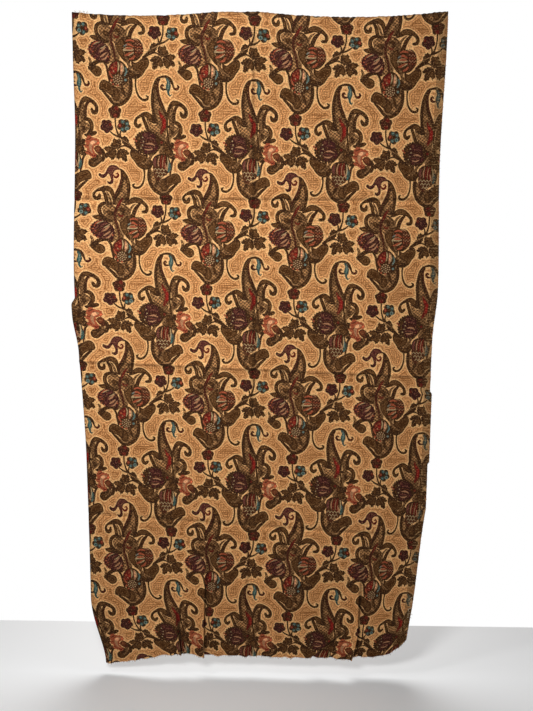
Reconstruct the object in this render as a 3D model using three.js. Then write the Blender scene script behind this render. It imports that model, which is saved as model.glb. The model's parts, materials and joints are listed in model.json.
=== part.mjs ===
// Fabric room curtain panel: one flat length of heavy figured tapestry cloth, hung by its top edge.
//
// Units are millimetres, +Z is up and the right side of the cloth faces -Y. The origin is on the
// back of the top turning, at mid-width. Everything lies at or in front of the plane y = 0, which is
// the wall or batten that the panel hangs on.
//
// The cloth was stored folded, so three creases pressed across it divide it into four leaves. Each
// leaf carries its own stretch of the sewn side turning (left) and of the woven selvedge (right).

import * as THREE from 'three';

// ---------------------------------------------------------------- driving dimensions

const CLOTH_WIDTH = 1400;        // side edge to side edge, measured along the cloth
const PANEL_DROP = 2560;         // pinned top edge to the middle of the hem
const CLOTH_THICKNESS = 2.4;     // figured cloth with its loose yarns at the back

const TURNING_HEIGHT = 40;       // top turning, at the pins
const SIDE_TURNING_WIDTH = 14;   // narrow turning sewn down the left side
const SELVEDGE_WIDTH = 32;       // plain woven edge down the right side
const FRAY_HEIGHT = 9;           // loose warp ends below the last weft thread

// The panel was stored folded in four, so each pressed crease lies about a quarter of the drop below
// the one above it. `CREASE_OFFSETS` is how much lower than that it came out, at mid-width.
const CREASE_OFFSETS = [41, 56, 66];
const CREASE_SLOPES = [0, -0.039, -0.063];  // rise of each crease per millimetre towards the right

const PINS_FROM_LEFT = [0, 540, 700];     // the top edge is also held at its right corner
const SPAN_SAGS = [13, 1, 20];            // how far the top edge hangs down between two pins

const SEAM_GAP = 0.4;            // clearance between neighbouring pieces

// Deep tucks that gather the cloth above the hem. `take` is the cloth that a tuck swallows at the
// hem and `reach` is how high above the hem it begins.
const TUCKS = [
  { fromLeft: 335, take: 25, reach: 190 },
  { fromLeft: 475, take: 50, reach: 430 },
  { fromRight: 458, take: 30, reach: 150 },
  { fromRight: 188, take: 45, reach: 330 },
];
const TUCK_HALF_WIDTH = 45;
const TUCK_VALLEY_WIDTH = 60;
const BILLOW_DEPTH = 26;         // how far the cloth swells forward between tucks at the hem
const BILLOW_REACH = 480;

const EDGE_INSET = 5;            // both sides stand this far inside the full cloth width
const LEFT_BOW = { centre: 1010, reach: 700, out: 25 };
const RIGHT_DIP = { centre: 340, reach: 330, in: 9 };
const LEFT_HEM_PULL = { reach: 300, in: 46 };
const RIGHT_HEM_PULL = { reach: 700, in: 102, power: 1.6 };
const LOOSE_TURNING = { from: 1055, peak: 1107, to: 1270, out: 19 };  // stitching undone here

const LEFT_CORNER_DROP = { width: 270, down: 34 };   // the hem hangs lower at its left end
const RIGHT_CORNER_LIFT = { width: 160, up: 130, power: 2.4 };  // and turns up at its right end

const SAG_BULGE = { depth: 9, reach: 300 };      // soft swell of the cloth under each sag
const SOFT_FOLD = { depth: 5, wavelength: 330 }; // shallow upright waves all down the panel
const FLAT_AT_CREASE = 30;       // the cloth lies flat this close to a crease
const RELIEF_RISE = 170;         // and has its full relief this much further away

// ---------------------------------------------------------------- materials

const wovenCloth = new THREE.MeshStandardMaterial({ color: 0x8c6a42, roughness: 0.95, metalness: 0 });
const turnedEdge = new THREE.MeshStandardMaterial({ color: 0x6a4c2e, roughness: 0.95, metalness: 0 });
const selvedgeWeave = new THREE.MeshStandardMaterial({ color: 0x6b5540, roughness: 0.9, metalness: 0 });
const frayedYarn = new THREE.MeshStandardMaterial({ color: 0x4e3d28, roughness: 1, metalness: 0 });

// ---------------------------------------------------------------- the hung surface

const TOP_Z = TURNING_HEIGHT / 2;
const LEAF_COUNT = CREASE_OFFSETS.length + 1;
const CREASE_DROPS = CREASE_OFFSETS.map(
  (offset, index) => ((index + 1) * PANEL_DROP) / LEAF_COUNT + offset,
);
const HEM_Z = TOP_Z - PANEL_DROP;
const TURNING_LOW_Z = -TURNING_HEIGHT / 2;

const clamp01 = (value) => Math.min(1, Math.max(0, value));
const lerp = (a, b, share) => a + (b - a) * share;

function smooth(value) {
  const share = clamp01(value);
  return share * share * (3 - 2 * share);
}

/** A rounded hump: 1 at the centre, 0 from `reach` outwards. */
function hump(position, centre, reach) {
  return smooth(1 - Math.abs(position - centre) / reach);
}

const tuckPosition = (tuck) => tuck.fromLeft ?? CLOTH_WIDTH - tuck.fromRight;

/** Cloth swallowed by one tuck at a height above the hem. */
function takeUp(tuck, height) {
  return tuck.take * clamp01(1 - height / tuck.reach) ** 1.3;
}

/** Left edge of the cloth at a level, seen from the front. */
function leftEdge(z) {
  const drop = TOP_Z - z;
  const bow = LEFT_BOW.out * hump(drop, LEFT_BOW.centre, LEFT_BOW.reach);
  const pull = LEFT_HEM_PULL.in * smooth(1 - (z - HEM_Z) / LEFT_HEM_PULL.reach);
  return -CLOTH_WIDTH / 2 + EDGE_INSET - bow + pull;
}

/** Right edge of the cloth at a level. */
function rightEdge(z) {
  const drop = TOP_Z - z;
  const dip = RIGHT_DIP.in * hump(drop, RIGHT_DIP.centre, RIGHT_DIP.reach);
  const pulled = clamp01(1 - (z - HEM_Z) / RIGHT_HEM_PULL.reach) ** RIGHT_HEM_PULL.power;
  return CLOTH_WIDTH / 2 - EDGE_INSET - dip - RIGHT_HEM_PULL.in * pulled;
}

/** How far the side turning stands out where its stitching has come undone. */
function looseTurning(z) {
  const drop = TOP_Z - z;
  const { from, peak, to, out } = LOOSE_TURNING;
  const share = drop < peak ? (drop - from) / (peak - from) : (to - drop) / (to - peak);
  return out * smooth(share);
}

/** World x of the point `across` millimetres from the left edge, at a level. */
function acrossToX(across, z) {
  const height = z - HEM_Z;
  let used = across;
  let whole = CLOTH_WIDTH;
  for (const tuck of TUCKS) {
    const take = takeUp(tuck, height);
    used -= take * smooth((across - tuckPosition(tuck)) / (2 * TUCK_HALF_WIDTH) + 0.5);
    whole -= take;
  }
  const stepOut = looseTurning(z) * clamp01(1 - across / SIDE_TURNING_WIDTH);
  return lerp(leftEdge(z), rightEdge(z), used / whole) - stepOut;
}

/** How far the top edge hangs below the pins. */
function topSag(across) {
  const pins = [...PINS_FROM_LEFT, CLOTH_WIDTH];
  for (let span = 0; span < SPAN_SAGS.length; span += 1) {
    const share = (across - pins[span]) / (pins[span + 1] - pins[span]);
    if (share >= 0 && share <= 1) return SPAN_SAGS[span] * 4 * share * (1 - share);
  }
  return 0;
}

/** How far the cloth stands forward of the wall plane, apart from its own thickness. */
function relief(across, z, upperHinge, lowerHinge) {
  const height = z - HEM_Z;
  const drop = TOP_Z - z;
  const sagShare = topSag(across) / Math.max(...SPAN_SAGS);
  let depth = SAG_BULGE.depth * sagShare * smooth(1 - drop / SAG_BULGE.reach);
  depth += SOFT_FOLD.depth * (0.5 - 0.5 * Math.cos((2 * Math.PI * across) / SOFT_FOLD.wavelength));

  let billow = BILLOW_DEPTH * smooth(1 - height / BILLOW_REACH);
  for (const tuck of TUCKS) {
    const away = (across - tuckPosition(tuck)) / TUCK_VALLEY_WIDTH;
    const strength = clamp01(1 - height / tuck.reach);
    billow *= 1 - strength * Math.exp(-away * away);
  }
  depth += billow;

  const toHinge = Math.min(upperHinge - z, lowerHinge === null ? Infinity : z - lowerHinge);
  return depth * smooth((toHinge - FLAT_AT_CREASE) / RELIEF_RISE);
}

// ---------------------------------------------------------------- boundaries of the leaves

const creaseZ = (crease) => (x) => TOP_Z - CREASE_DROPS[crease] + CREASE_SLOPES[crease] * x;

/** Level of the bottom edge as it hangs, loose yarns included. */
function hemZ(x) {
  const fromLeft = x - leftEdge(HEM_Z);
  const fromRight = rightEdge(HEM_Z) - x;
  const down = LEFT_CORNER_DROP.down * smooth(1 - fromLeft / LEFT_CORNER_DROP.width);
  const turned = clamp01(1 - fromRight / RIGHT_CORNER_LIFT.width) ** RIGHT_CORNER_LIFT.power;
  return HEM_Z - down + RIGHT_CORNER_LIFT.up * turned;
}

const lastWeftZ = (x) => hemZ(x) + FRAY_HEIGHT;

/** One leaf: its nominal levels, and its true upper and lower lines as functions of x. */
const leaves = [
  { high: TURNING_LOW_Z, low: TOP_Z - CREASE_DROPS[0], top: () => TURNING_LOW_Z, bottom: creaseZ(0) },
  { high: TOP_Z - CREASE_DROPS[0], low: TOP_Z - CREASE_DROPS[1], top: creaseZ(0), bottom: creaseZ(1) },
  { high: TOP_Z - CREASE_DROPS[1], low: TOP_Z - CREASE_DROPS[2], top: creaseZ(1), bottom: creaseZ(2) },
  { high: TOP_Z - CREASE_DROPS[2], low: HEM_Z, top: creaseZ(2), bottom: lastWeftZ },
];
leaves.forEach((leaf, index) => {
  leaf.free = index === leaves.length - 1;   // nothing hinges on the last leaf's lower edge
});

// ---------------------------------------------------------------- solids

/** A closed sheet from a grid of front points, given its thickness straight back. */
function sheetGeometry(columns, rows, frontPoint) {
  const positions = [];
  for (const back of [0, CLOTH_THICKNESS]) {
    for (let row = 0; row <= rows; row += 1) {
      for (let column = 0; column <= columns; column += 1) {
        const [x, y, z] = frontPoint(column / columns, row / rows);
        positions.push(x, y + back, z);
      }
    }
  }
  const layer = (columns + 1) * (rows + 1);
  const at = (side, column, row) => side * layer + row * (columns + 1) + column;
  const faces = [];
  const quad = (a, b, c, d) => faces.push(a, b, c, a, c, d);
  for (let row = 0; row < rows; row += 1) {
    for (let column = 0; column < columns; column += 1) {
      quad(at(0, column, row), at(0, column, row + 1), at(0, column + 1, row + 1), at(0, column + 1, row));
      quad(at(1, column, row), at(1, column + 1, row), at(1, column + 1, row + 1), at(1, column, row + 1));
    }
  }
  for (let column = 0; column < columns; column += 1) {
    quad(at(0, column, 0), at(0, column + 1, 0), at(1, column + 1, 0), at(1, column, 0));
    quad(at(0, column + 1, rows), at(0, column, rows), at(1, column, rows), at(1, column + 1, rows));
  }
  for (let row = 0; row < rows; row += 1) {
    quad(at(0, 0, row + 1), at(0, 0, row), at(1, 0, row), at(1, 0, row + 1));
    quad(at(0, columns, row), at(0, columns, row + 1), at(1, columns, row + 1), at(1, columns, row));
  }
  const geometry = new THREE.BufferGeometry();
  geometry.setAttribute('position', new THREE.Float32BufferAttribute(positions, 3));
  geometry.setIndex(faces);
  geometry.computeVertexNormals();
  return geometry;
}

const FRONT_Y = -CLOTH_THICKNESS;
const BODY_FROM = SIDE_TURNING_WIDTH + SEAM_GAP / 2;
const BODY_TO = CLOTH_WIDTH - SELVEDGE_WIDTH - SEAM_GAP / 2;
const LEAF_ROWS = 10;            // the same in every strip, so that neighbours meet along straight edges
const LEAF_COLUMNS = 20;
const HEM_COLUMNS = 56;          // closer where the cloth is gathered

/** Part of a leaf between two distances from the left edge of the cloth. */
function leafStrip(leaf, bottomLine, fromAcross, toAcross, columns) {
  return sheetGeometry(columns, LEAF_ROWS, (u, v) => {
    const across = lerp(fromAcross, toAcross, u);
    const level = lerp(leaf.high, leaf.low, v);
    const x = acrossToX(across, level);
    const top = leaf.top(x) - SEAM_GAP / 2;
    const bottom = bottomLine(x) + SEAM_GAP / 2;
    const forward = relief(across, level, leaf.high, leaf.free ? null : leaf.low);
    return [x, FRONT_Y - forward, lerp(top, bottom, v)];
  });
}

function topTurningGeometry() {
  const columns = 42;
  return sheetGeometry(columns, 1, (u, v) => {
    const across = CLOTH_WIDTH * u;
    const top = TOP_Z - topSag(across);
    const x = acrossToX(across, lerp(TOP_Z, TURNING_LOW_Z, v));
    return [x, FRONT_Y, lerp(top, TURNING_LOW_Z + SEAM_GAP / 2, v)];
  });
}

/** The loose warp ends under the figured cloth; the two side edges are bound and don't fray. */
function frayedHemGeometry() {
  const lastLeaf = leaves[leaves.length - 1];
  return sheetGeometry(HEM_COLUMNS, 1, (u, v) => {
    const across = lerp(BODY_FROM, BODY_TO, u);
    const x = acrossToX(across, lastLeaf.low);
    const forward = relief(across, lastLeaf.low, lastLeaf.high, null);
    return [x, FRONT_Y - forward, lerp(lastWeftZ(x) - SEAM_GAP / 2, hemZ(x), v)];
  });
}

// ---------------------------------------------------------------- assembly

const group = new THREE.Group();

function addPart(name, geometry, material) {
  const mesh = new THREE.Mesh(geometry, material);
  mesh.name = name;
  group.add(mesh);
}

addPart('top_turning', topTurningGeometry(), turnedEdge);

leaves.forEach((leaf, index) => {
  const number = index + 1;
  const columns = leaf.free ? HEM_COLUMNS : LEAF_COLUMNS;
  const edgeLine = leaf.free ? hemZ : leaf.bottom;
  addPart(`cloth_leaf_${number}`, leafStrip(leaf, leaf.bottom, BODY_FROM, BODY_TO, columns), wovenCloth);
  addPart(
    `side_turning_${number}`,
    leafStrip(leaf, edgeLine, 0, SIDE_TURNING_WIDTH - SEAM_GAP / 2, 1),
    turnedEdge,
  );
  addPart(
    `selvedge_${number}`,
    leafStrip(leaf, edgeLine, CLOTH_WIDTH - SELVEDGE_WIDTH + SEAM_GAP / 2, CLOTH_WIDTH, 2),
    selvedgeWeave,
  );
});

addPart('frayed_hem', frayedHemGeometry(), frayedYarn);

export default group;
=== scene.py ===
# %% [markdown]
# # A hanging panel of figured tapestry cloth
# One flat length of heavy furnishing cloth, pinned along its top edge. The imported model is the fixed
# frame: it says where the cloth hangs and where it folds. This lesson weaves the figure as real faces,
# one colour of yarn to a face, hangs that flat weave over the frame, and adds the selvedge, the
# turnings and the frayed yarns.

import math
import json

import bpy
import numpy as np
from mathutils import Matrix, Vector
from mathutils.geometry import delaunay_2d_cdt
from mathutils.kdtree import KDTree


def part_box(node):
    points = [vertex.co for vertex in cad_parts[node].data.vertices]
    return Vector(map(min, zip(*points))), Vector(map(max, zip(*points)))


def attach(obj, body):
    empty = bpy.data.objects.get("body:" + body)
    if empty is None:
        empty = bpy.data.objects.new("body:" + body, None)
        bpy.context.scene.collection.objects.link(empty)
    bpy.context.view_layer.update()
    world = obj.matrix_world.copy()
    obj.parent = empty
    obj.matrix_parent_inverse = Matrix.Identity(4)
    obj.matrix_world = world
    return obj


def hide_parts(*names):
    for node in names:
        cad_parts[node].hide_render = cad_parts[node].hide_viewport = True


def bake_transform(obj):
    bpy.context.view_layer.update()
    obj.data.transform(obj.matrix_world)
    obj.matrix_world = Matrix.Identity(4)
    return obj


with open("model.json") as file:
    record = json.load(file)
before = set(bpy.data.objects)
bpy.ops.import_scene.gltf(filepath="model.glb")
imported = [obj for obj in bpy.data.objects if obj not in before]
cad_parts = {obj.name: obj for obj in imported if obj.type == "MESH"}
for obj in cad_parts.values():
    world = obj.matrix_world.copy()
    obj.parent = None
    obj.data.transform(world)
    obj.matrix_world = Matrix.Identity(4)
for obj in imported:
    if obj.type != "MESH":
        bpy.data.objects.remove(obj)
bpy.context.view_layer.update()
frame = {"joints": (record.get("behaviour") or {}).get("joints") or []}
joints = {joint["name"]: joint for joint in frame["joints"]}

# %% [markdown]
# ## Sizes
# The frame works in metres and a weaver in millimetres, so lengths below are in millimetres until a
# point is placed. The creases and the swing line come from the joints, and the rest repeats the frame's
# own sizes.

# %% sizes of the cloth, in millimetres
MM = 0.001
CLOTH_WIDTH = 1400.0
THICK = 1.3                     # one layer of cloth
FRONT_Y = -2.4                  # the front of the cloth where it lies flat
TOP_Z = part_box("top_turning")[1][2] / MM
HEM_Z = -2540.0
DROP = TOP_Z - HEM_Z
SELVEDGE = 32.0
SIDE_TURNING = 14.0
TOP_TURNING = 40.0
SWING_Z = joints["panel_swing"]["pos_m"][2] / MM


def crease_line(name):
    """Level of a crease at mid-width, and its rise for each millimetre to the right."""
    joint = joints[name]
    axis = joint["axis"]
    return joint["pos_m"][2] / MM, axis[2] / axis[0]


CREASES = [crease_line(f"crease_{number}_fold") for number in (1, 2, 3)]
print("drop", round(DROP), "mm, creases at", [round(level) for level, slope in CREASES])

# %% [markdown]
# ## The hung surface
# Cloth is a sheet with two directions: `across`, from the left edge, and `drop`, from the pinned top
# edge. One function lays any such pair in space. It pulls the sides in, swallows cloth in the four deep
# tucks above the hem, lets the top edge sag between its pins, and swells the cloth forward here and
# there.

# %% how the sides, the pins and the tucks are placed
EDGE_INSET = 5.0
CREASE_SENSES = ("valley", "ridge", "valley")
PINS = [0.0, 540.0, 700.0, CLOTH_WIDTH]
SAGS = [13.0, 1.0, 20.0]
TUCKS = [                       # (across, cloth swallowed, height above the hem, step forward, lean)
    (318.0, 25.0, 190.0, 12.0, 0.10),
    (447.0, 50.0, 430.0, 23.0, 0.10),
    (950.0, 26.0, 130.0, 12.0, 0.90),
    (1150.0, 45.0, 350.0, 22.0, -0.05),
]
TUCK_HALF = 24.0                # half the width over which a tuck swallows its cloth
TUCK_LAP = 15.0                 # width of the step where the cloth laps over
LEFT_SWELL = 25.0               # how far the middle of the left side stands out
LEFT_PULL = 56.0                # how far the lower left corner is drawn in
RIGHT_DIP = 11.0                # how far the upper right side is drawn in
RIGHT_LEAN = 15.0               # how far the right side comes in below its upper third
RIGHT_PULL = 62.0               # how far the lower right corner is drawn in
RIGHT_STEP = 7.0                # a stretch of selvedge that stands out
LOOSE_TURNING = (1055.0, 1270.0, 15.0)      # where the left turning is undone, and how far it stands out


def smooth(value):
    """An even rise from 0 to 1 as the value goes from 0 to 1."""
    share = np.clip(value, 0.0, 1.0)
    return share * share * (3.0 - 2.0 * share)


def hump(position, centre, reach):
    """1 at the centre, falling to 0 at the reach on both sides."""
    return smooth(1.0 - np.abs(position - centre) / reach)


def ripple(a, b, length, seed):
    """A calm irregular wave over two directions, between about -1 and 1, the same on every run."""
    random = np.random.default_rng(seed)
    total = np.zeros_like(np.asarray(a, float))
    for _ in range(6):
        turn, phase = random.uniform(0, 2 * math.pi, 2)
        size = length * random.uniform(0.7, 1.5)
        total += np.sin(2 * math.pi * (a * math.cos(turn) + b * math.sin(turn)) / size + phase)
    return total / 3.0


def left_edge(drop):
    """X of the left edge at a drop."""
    pull = LEFT_PULL * smooth(1.0 - (DROP - drop) / 300.0)
    return -CLOTH_WIDTH / 2 + EDGE_INSET - LEFT_SWELL * hump(drop, 1010.0, 700.0) + pull


def right_edge(drop):
    """X of the right edge at a drop."""
    dip = RIGHT_DIP * hump(drop, 520.0, 500.0)
    lean = RIGHT_LEAN * smooth((drop - 1020.0) / 200.0)
    pull = RIGHT_PULL * np.clip(1.0 - (DROP - drop) / 660.0, 0.0, 1.0) ** 0.9
    step = RIGHT_STEP * smooth((drop - 1418.0) / 14.0) * smooth((1720.0 - drop) / 16.0)
    return CLOTH_WIDTH / 2 - EDGE_INSET - dip - lean - pull + step


def top_sag(across):
    """How far the top edge hangs below its pins."""
    sag = np.zeros_like(across)
    for left, right, depth in zip(PINS[:-1], PINS[1:], SAGS):
        share = np.clip((across - left) / (right - left), 0.0, 1.0)
        sag += depth * 4.0 * share * (1.0 - share)
    return sag


def hem_shift(x, drop):
    """How far the left corner hangs below the hem's middle, and how far the rest stands above it."""
    from_left = x - left_edge(drop)
    from_right = right_edge(drop) - x
    down = 42.0 * smooth(1.0 - from_left / 270.0)
    up = 9.0 + 9.0 * hump(x, -320.0, 130.0) + 78.0 * np.clip(1.0 - from_right / 150.0, 0.0, 1.0) ** 2.2
    return down, up


# %% from the flat cloth to the hung cloth
LEFT_REACH = 170.0              # how far in from the left edge its own shape is felt
RIGHT_REACH = 260.0             # and from the right edge


def taken_up(across, drop):
    """Distance from the left edge once the tucks have swallowed their cloth."""
    height = DROP - drop
    used = across.copy()
    for place, swallowed, reach, _, slant in TUCKS:
        lean = slant * np.clip(height, 0.0, reach)
        take = swallowed * np.clip(1.0 - height / reach, 0.0, 1.0) ** 1.2
        used -= take * smooth((across - place - lean) / (2 * TUCK_HALF) + 0.5)
    return used


def drift(across, drop):
    """The right half of the hem hangs a little to the left."""
    return 14.0 * smooth((across - 450.0) / 200.0) * smooth((drop - 1950.0) / 350.0)


def hang_x(across, drop):
    """X of a place in the cloth: tucks first, then the shape of the nearer side."""
    middle = taken_up(np.full_like(across, CLOTH_WIDTH / 2), drop)
    full = np.full_like(across, CLOTH_WIDTH)
    inner = taken_up(across, drop) - middle - drift(across, drop)
    left = left_edge(drop) + middle
    right = right_edge(drop) - taken_up(full, drop) + middle + drift(full, drop)
    loose_from, loose_to, out = LOOSE_TURNING
    loose = smooth((drop - loose_from) / 30.0) * smooth((loose_to - drop) / 150.0)
    stand_out = out * loose * np.clip(1.0 - across / SIDE_TURNING, 0.0, 1.0)
    near_left = smooth(1.0 - across / LEFT_REACH)
    near_right = smooth(1.0 - (CLOTH_WIDTH - across) / RIGHT_REACH)
    return inner + left * near_left + right * near_right - stand_out


def hang_z(across, drop, x):
    """Z of a place in the cloth, with its stretch, its sag and its ragged ends."""
    height = DROP - drop
    ragged_top = 1.1 * ripple(x, 0 * x, 21.0, 5) * smooth(1.0 - drop / 14.0)
    ragged_hem = 3.2 * ripple(x, 0 * x, 37.0, 6) * smooth(1.0 - height / 40.0)
    stretch = 12.0 * hump(drop, 390.0, 330.0)
    stretch += 13.0 * smooth((drop - 1750.0) / 350.0) * smooth((height + 30.0) / 190.0)
    left_corner, rest = hem_shift(x, drop)
    z = TOP_Z - drop - stretch - top_sag(across) * smooth(1.0 - drop / 300.0)
    z = z - left_corner * smooth(1.0 - height / 760.0) + rest * smooth(1.0 - height / 330.0)
    return z + ragged_top + ragged_hem


def relief(across, drop, x, z):
    """How far the cloth stands forward of where it would lie flat."""
    height = DROP - drop
    swell = 9.0 * top_sag(across) / max(SAGS) * smooth(1.0 - drop / 300.0)
    swell += 5.0 * (0.5 - 0.5 * np.cos(2 * math.pi * across / 330.0 + 0.6 * ripple(x, z, 900.0, 2)))
    swell += 1.4 * (1.0 + ripple(x, z, 260.0, 3))
    swell += 8.0 * smooth(1.0 - height / 480.0)
    for place, _, reach, step, slant in TUCKS:
        strength = np.clip(1.0 - height / reach, 0.0, 1.0) ** 0.8
        away = across - place - slant * np.clip(height, 0.0, reach)
        lap = smooth(away / TUCK_LAP + 0.5)
        before = np.exp(np.minimum(away, 0.0) / 110.0) * (1.0 - lap)
        after = np.exp(-np.maximum(away, 0.0) / 60.0) * lap
        swell += strength * (step * before - 0.55 * step * after)
    to_hinge = np.abs(z - SWING_Z)
    for level, slope in CREASES:
        to_hinge = np.minimum(to_hinge, np.abs(z - level - slope * x))
    swell = np.maximum(swell, 0.0) * smooth((to_hinge - 20.0) / 170.0)
    return swell + crease_relief(x, z)


def middle_fold(z):
    """Where the fold down the middle runs."""
    return -22.0 + 4.0 * ripple(0 * z, z, 500.0, 9) - 22.0 * smooth((-z - 1300.0) / 900.0)


def crease_relief(x, z):
    """The pressed storage folds: three across the cloth and one down its middle."""
    total = np.full_like(x, 3.4)
    for (level, slope), sense in zip(CREASES, CREASE_SENSES):
        away = np.abs(z - level - slope * x - 2.0 * ripple(x, 0 * x, 160.0, 8))
        if sense == "ridge":
            total += 5.6 * np.exp(-away / 11.0)
        else:
            total -= 3.4 * np.exp(-away / 7.0)
    away = x - middle_fold(z)
    fold = 5.4 * np.exp(np.minimum(away, 0.0) / 45.0) * (1.0 - smooth(away / 9.0 + 0.5))
    fold -= 2.6 * np.exp(-np.maximum(away, 0.0) / 32.0) * smooth(away / 9.0 + 0.5)
    return np.maximum(total + fold * smooth((-z - 5.0) / 120.0), 0.0) * smooth((TOP_Z - z) / 60.0)


def painted_fold_shade_and_highlight(away, depth, glow, wide):
    """Painted shade on the far side of a fold, and a painted highlight, a little lighter, on its near
    side.
    """
    dark = depth * np.exp(-((away - wide) / (1.5 * wide)) ** 2)
    return 1.0 - dark + glow * np.exp(-((away + 2.2 * wide) / (1.8 * wide)) ** 2)


def fold_tone(across, drop):
    """Painted shade and highlight beside the pressed folds and the tucks, and painted shade along the top
    and left edges, as a factor on the cloth's lightness; 1 is unchanged.
    """
    x = hang_x(across, drop)
    z = hang_z(across, drop, x)
    tone = np.ones_like(x)
    # painted shade and highlight along the three creases, the middle fold and the tucks
    for (level, slope), sense in zip(CREASES, CREASE_SENSES):
        side = 1.0 if sense == "valley" else -1.0
        tone *= painted_fold_shade_and_highlight((z - level - slope * x) * side, 0.42, 0.16, 3.5)
    tone *= painted_fold_shade_and_highlight(x - middle_fold(z), 0.24, 0.12, 4.0)
    for place, _, reach, _, slant in TUCKS:
        height = DROP - drop
        strength = np.clip(1.0 - height / (1.2 * reach), 0.0, 1.0) ** 0.3
        away = across - place - slant * np.clip(height, 0.0, reach)
        tone *= painted_fold_shade_and_highlight(away, 0.85 * strength, 0.15 * strength, 5.5)
    # painted shade: a narrow dark line along the top edge and along the left edge
    tone *= 1.0 - 0.5 * np.exp(-np.maximum(drop, 0.0) / 4.0)
    return tone * (1.0 - 0.35 * np.exp(-np.maximum(across, 0.0) / 4.0))


def hang(across, drop):
    """Points of the cloth's front face, in metres."""
    across = np.asarray(across, float)
    drop = np.asarray(drop, float)
    x = hang_x(across, drop)
    z = hang_z(across, drop, x)
    y = FRONT_Y - relief(across, drop, x, z)
    return np.stack([x, y, z], -1) * MM


corner = hang(np.array([0.0, CLOTH_WIDTH]), np.array([DROP, DROP]))
print("hem corners at", corner.round(3).tolist())

# %% [markdown]
# ## Drawing the figure
# The figure repeats every 340 mm across and 663 mm down, and holds two big scrolling leaves that mirror
# each other, each with its own three flowers and a sprig of small ones. It is drawn as a designer draws
# on point paper: strokes of changing width and filled outlines, each in one yarn, later ones over
# earlier ones.

# %% the yarns
REPEAT = (340.0, 663.0)
YARNS = {
    "gold": "D69A62",
    "line": "87542B",
    "olive": "452810",
    "stipple": "BE8A57",
    "buff": "CB9762",
    "maroon": "551D12",
    "red": "861B17",
    "plum": "48191C",
    "coral": "DB6A45",
    "peach": "EBA677",
    "cream": "F0CD95",
    "teal": "3A6660",
    "pale_teal": "86A89C",
    "seed": "612C18",
    "mauve": "8A4840",
}
YARN_NUMBER = {name: number for number, name in enumerate(YARNS)}


def linear(code):
    """A display colour written as six hex digits, in the linear values that shaders use."""
    parts = [int(code[i : i + 2], 16) / 255 for i in (0, 2, 4)]
    return tuple(c / 12.92 if c <= 0.04045 else ((c + 0.055) / 1.055) ** 2.4 for c in parts)


# %% curves, strokes and outlines
POINT_STEP = 6.0


def curve(points, closed):
    """A smooth line through given points, in steps of about POINT_STEP."""
    points = np.asarray(points, float)
    count = len(points)
    out = []
    for i in range(count if closed else count - 1):
        if closed:
            a, b, c, d = (points[(i + k) % count] for k in (-1, 0, 1, 2))
        else:
            a, b, c, d = (points[min(max(i + k, 0), count - 1)] for k in (-1, 0, 1, 2))
        steps = max(1, int(round(np.linalg.norm((c - b)[:2]) / POINT_STEP)))
        for t in np.arange(steps) / steps:
            bend = (2 * a - 5 * b + 4 * c - d) * t**2
            out.append(0.5 * (2 * b + (c - a) * t + bend + (3 * b - a - 3 * c + d) * t**3))
    if not closed:
        out.append(points[-1])
    return np.array(out)


class Pen:
    """Draws in one yarn after another; `mirror` and `shift` place a whole motif."""

    def __init__(self, shapes, mirror=None, shift=0.0):
        self.shapes, self.mirror, self.shift = shapes, mirror, shift

    def add(self, yarn, outline):
        """Keeps a closed outline, in its place in the repeat."""
        outline = np.array(outline, float)
        if self.mirror is not None:
            outline[:, 0] = self.mirror - outline[:, 0]
        outline[:, 1] += self.shift
        self.shapes.append((YARN_NUMBER[yarn], outline))

    def blob(self, yarn, *points):
        """A filled, smooth outline through given points."""
        self.add(yarn, curve(points, closed=True))

    def stroke(self, yarn, widths, *points):
        """A smooth line whose width changes evenly through the widths given."""
        widths = np.interp(np.linspace(0, 1, len(points)), np.linspace(0, 1, len(widths)), widths)
        line = curve(np.column_stack([points, widths]), closed=False)
        along = np.gradient(line[:, :2], axis=0)
        along /= np.maximum(np.linalg.norm(along, axis=1), 1e-6)[:, None]
        side = np.column_stack([-along[:, 1], along[:, 0]]) * line[:, 2:] / 2
        middle = line[:, :2]
        tip, tail = middle[-1] + along[-1] * line[-1, 2] / 2, middle[0] - along[0] * line[0, 2] / 2
        self.add(yarn, np.vstack([middle + side, [tip], (middle - side)[::-1], [tail]]))

    def dot(self, yarn, x, y, radius):
        """A round dot."""
        count = max(6, int(2 * math.pi * radius / POINT_STEP))
        turn = np.linspace(0, 2 * math.pi, count, endpoint=False)
        self.add(yarn, np.column_stack([x + radius * np.cos(turn), y + radius * np.sin(turn)]))

    def rosette(self, yarn, x, y, radius, petals=5, turn=0.3):
        """A flower of round petals that overlap near its middle and leave notches outside."""
        reach, size = 0.58 * radius, 0.43 * radius
        for angle in np.arange(petals) * (2 * math.pi / petals) + turn:
            self.dot(yarn, x + reach * math.cos(angle), y + reach * math.sin(angle), size)
        self.dot(yarn, x, y, 0.45 * radius)

    def jagged(self, yarn, bite, *points):
        """A filled outline with a saw edge."""
        line = curve(points, closed=True)
        along = np.roll(line, -1, axis=0) - np.roll(line, 1, axis=0)
        along /= np.linalg.norm(along, axis=1)[:, None]
        side = np.column_stack([-along[:, 1], along[:, 0]])
        tooth = np.where(np.arange(len(line)) % 2, bite, -bite)[:, None]
        self.add(yarn, line + side * tooth)


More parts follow.
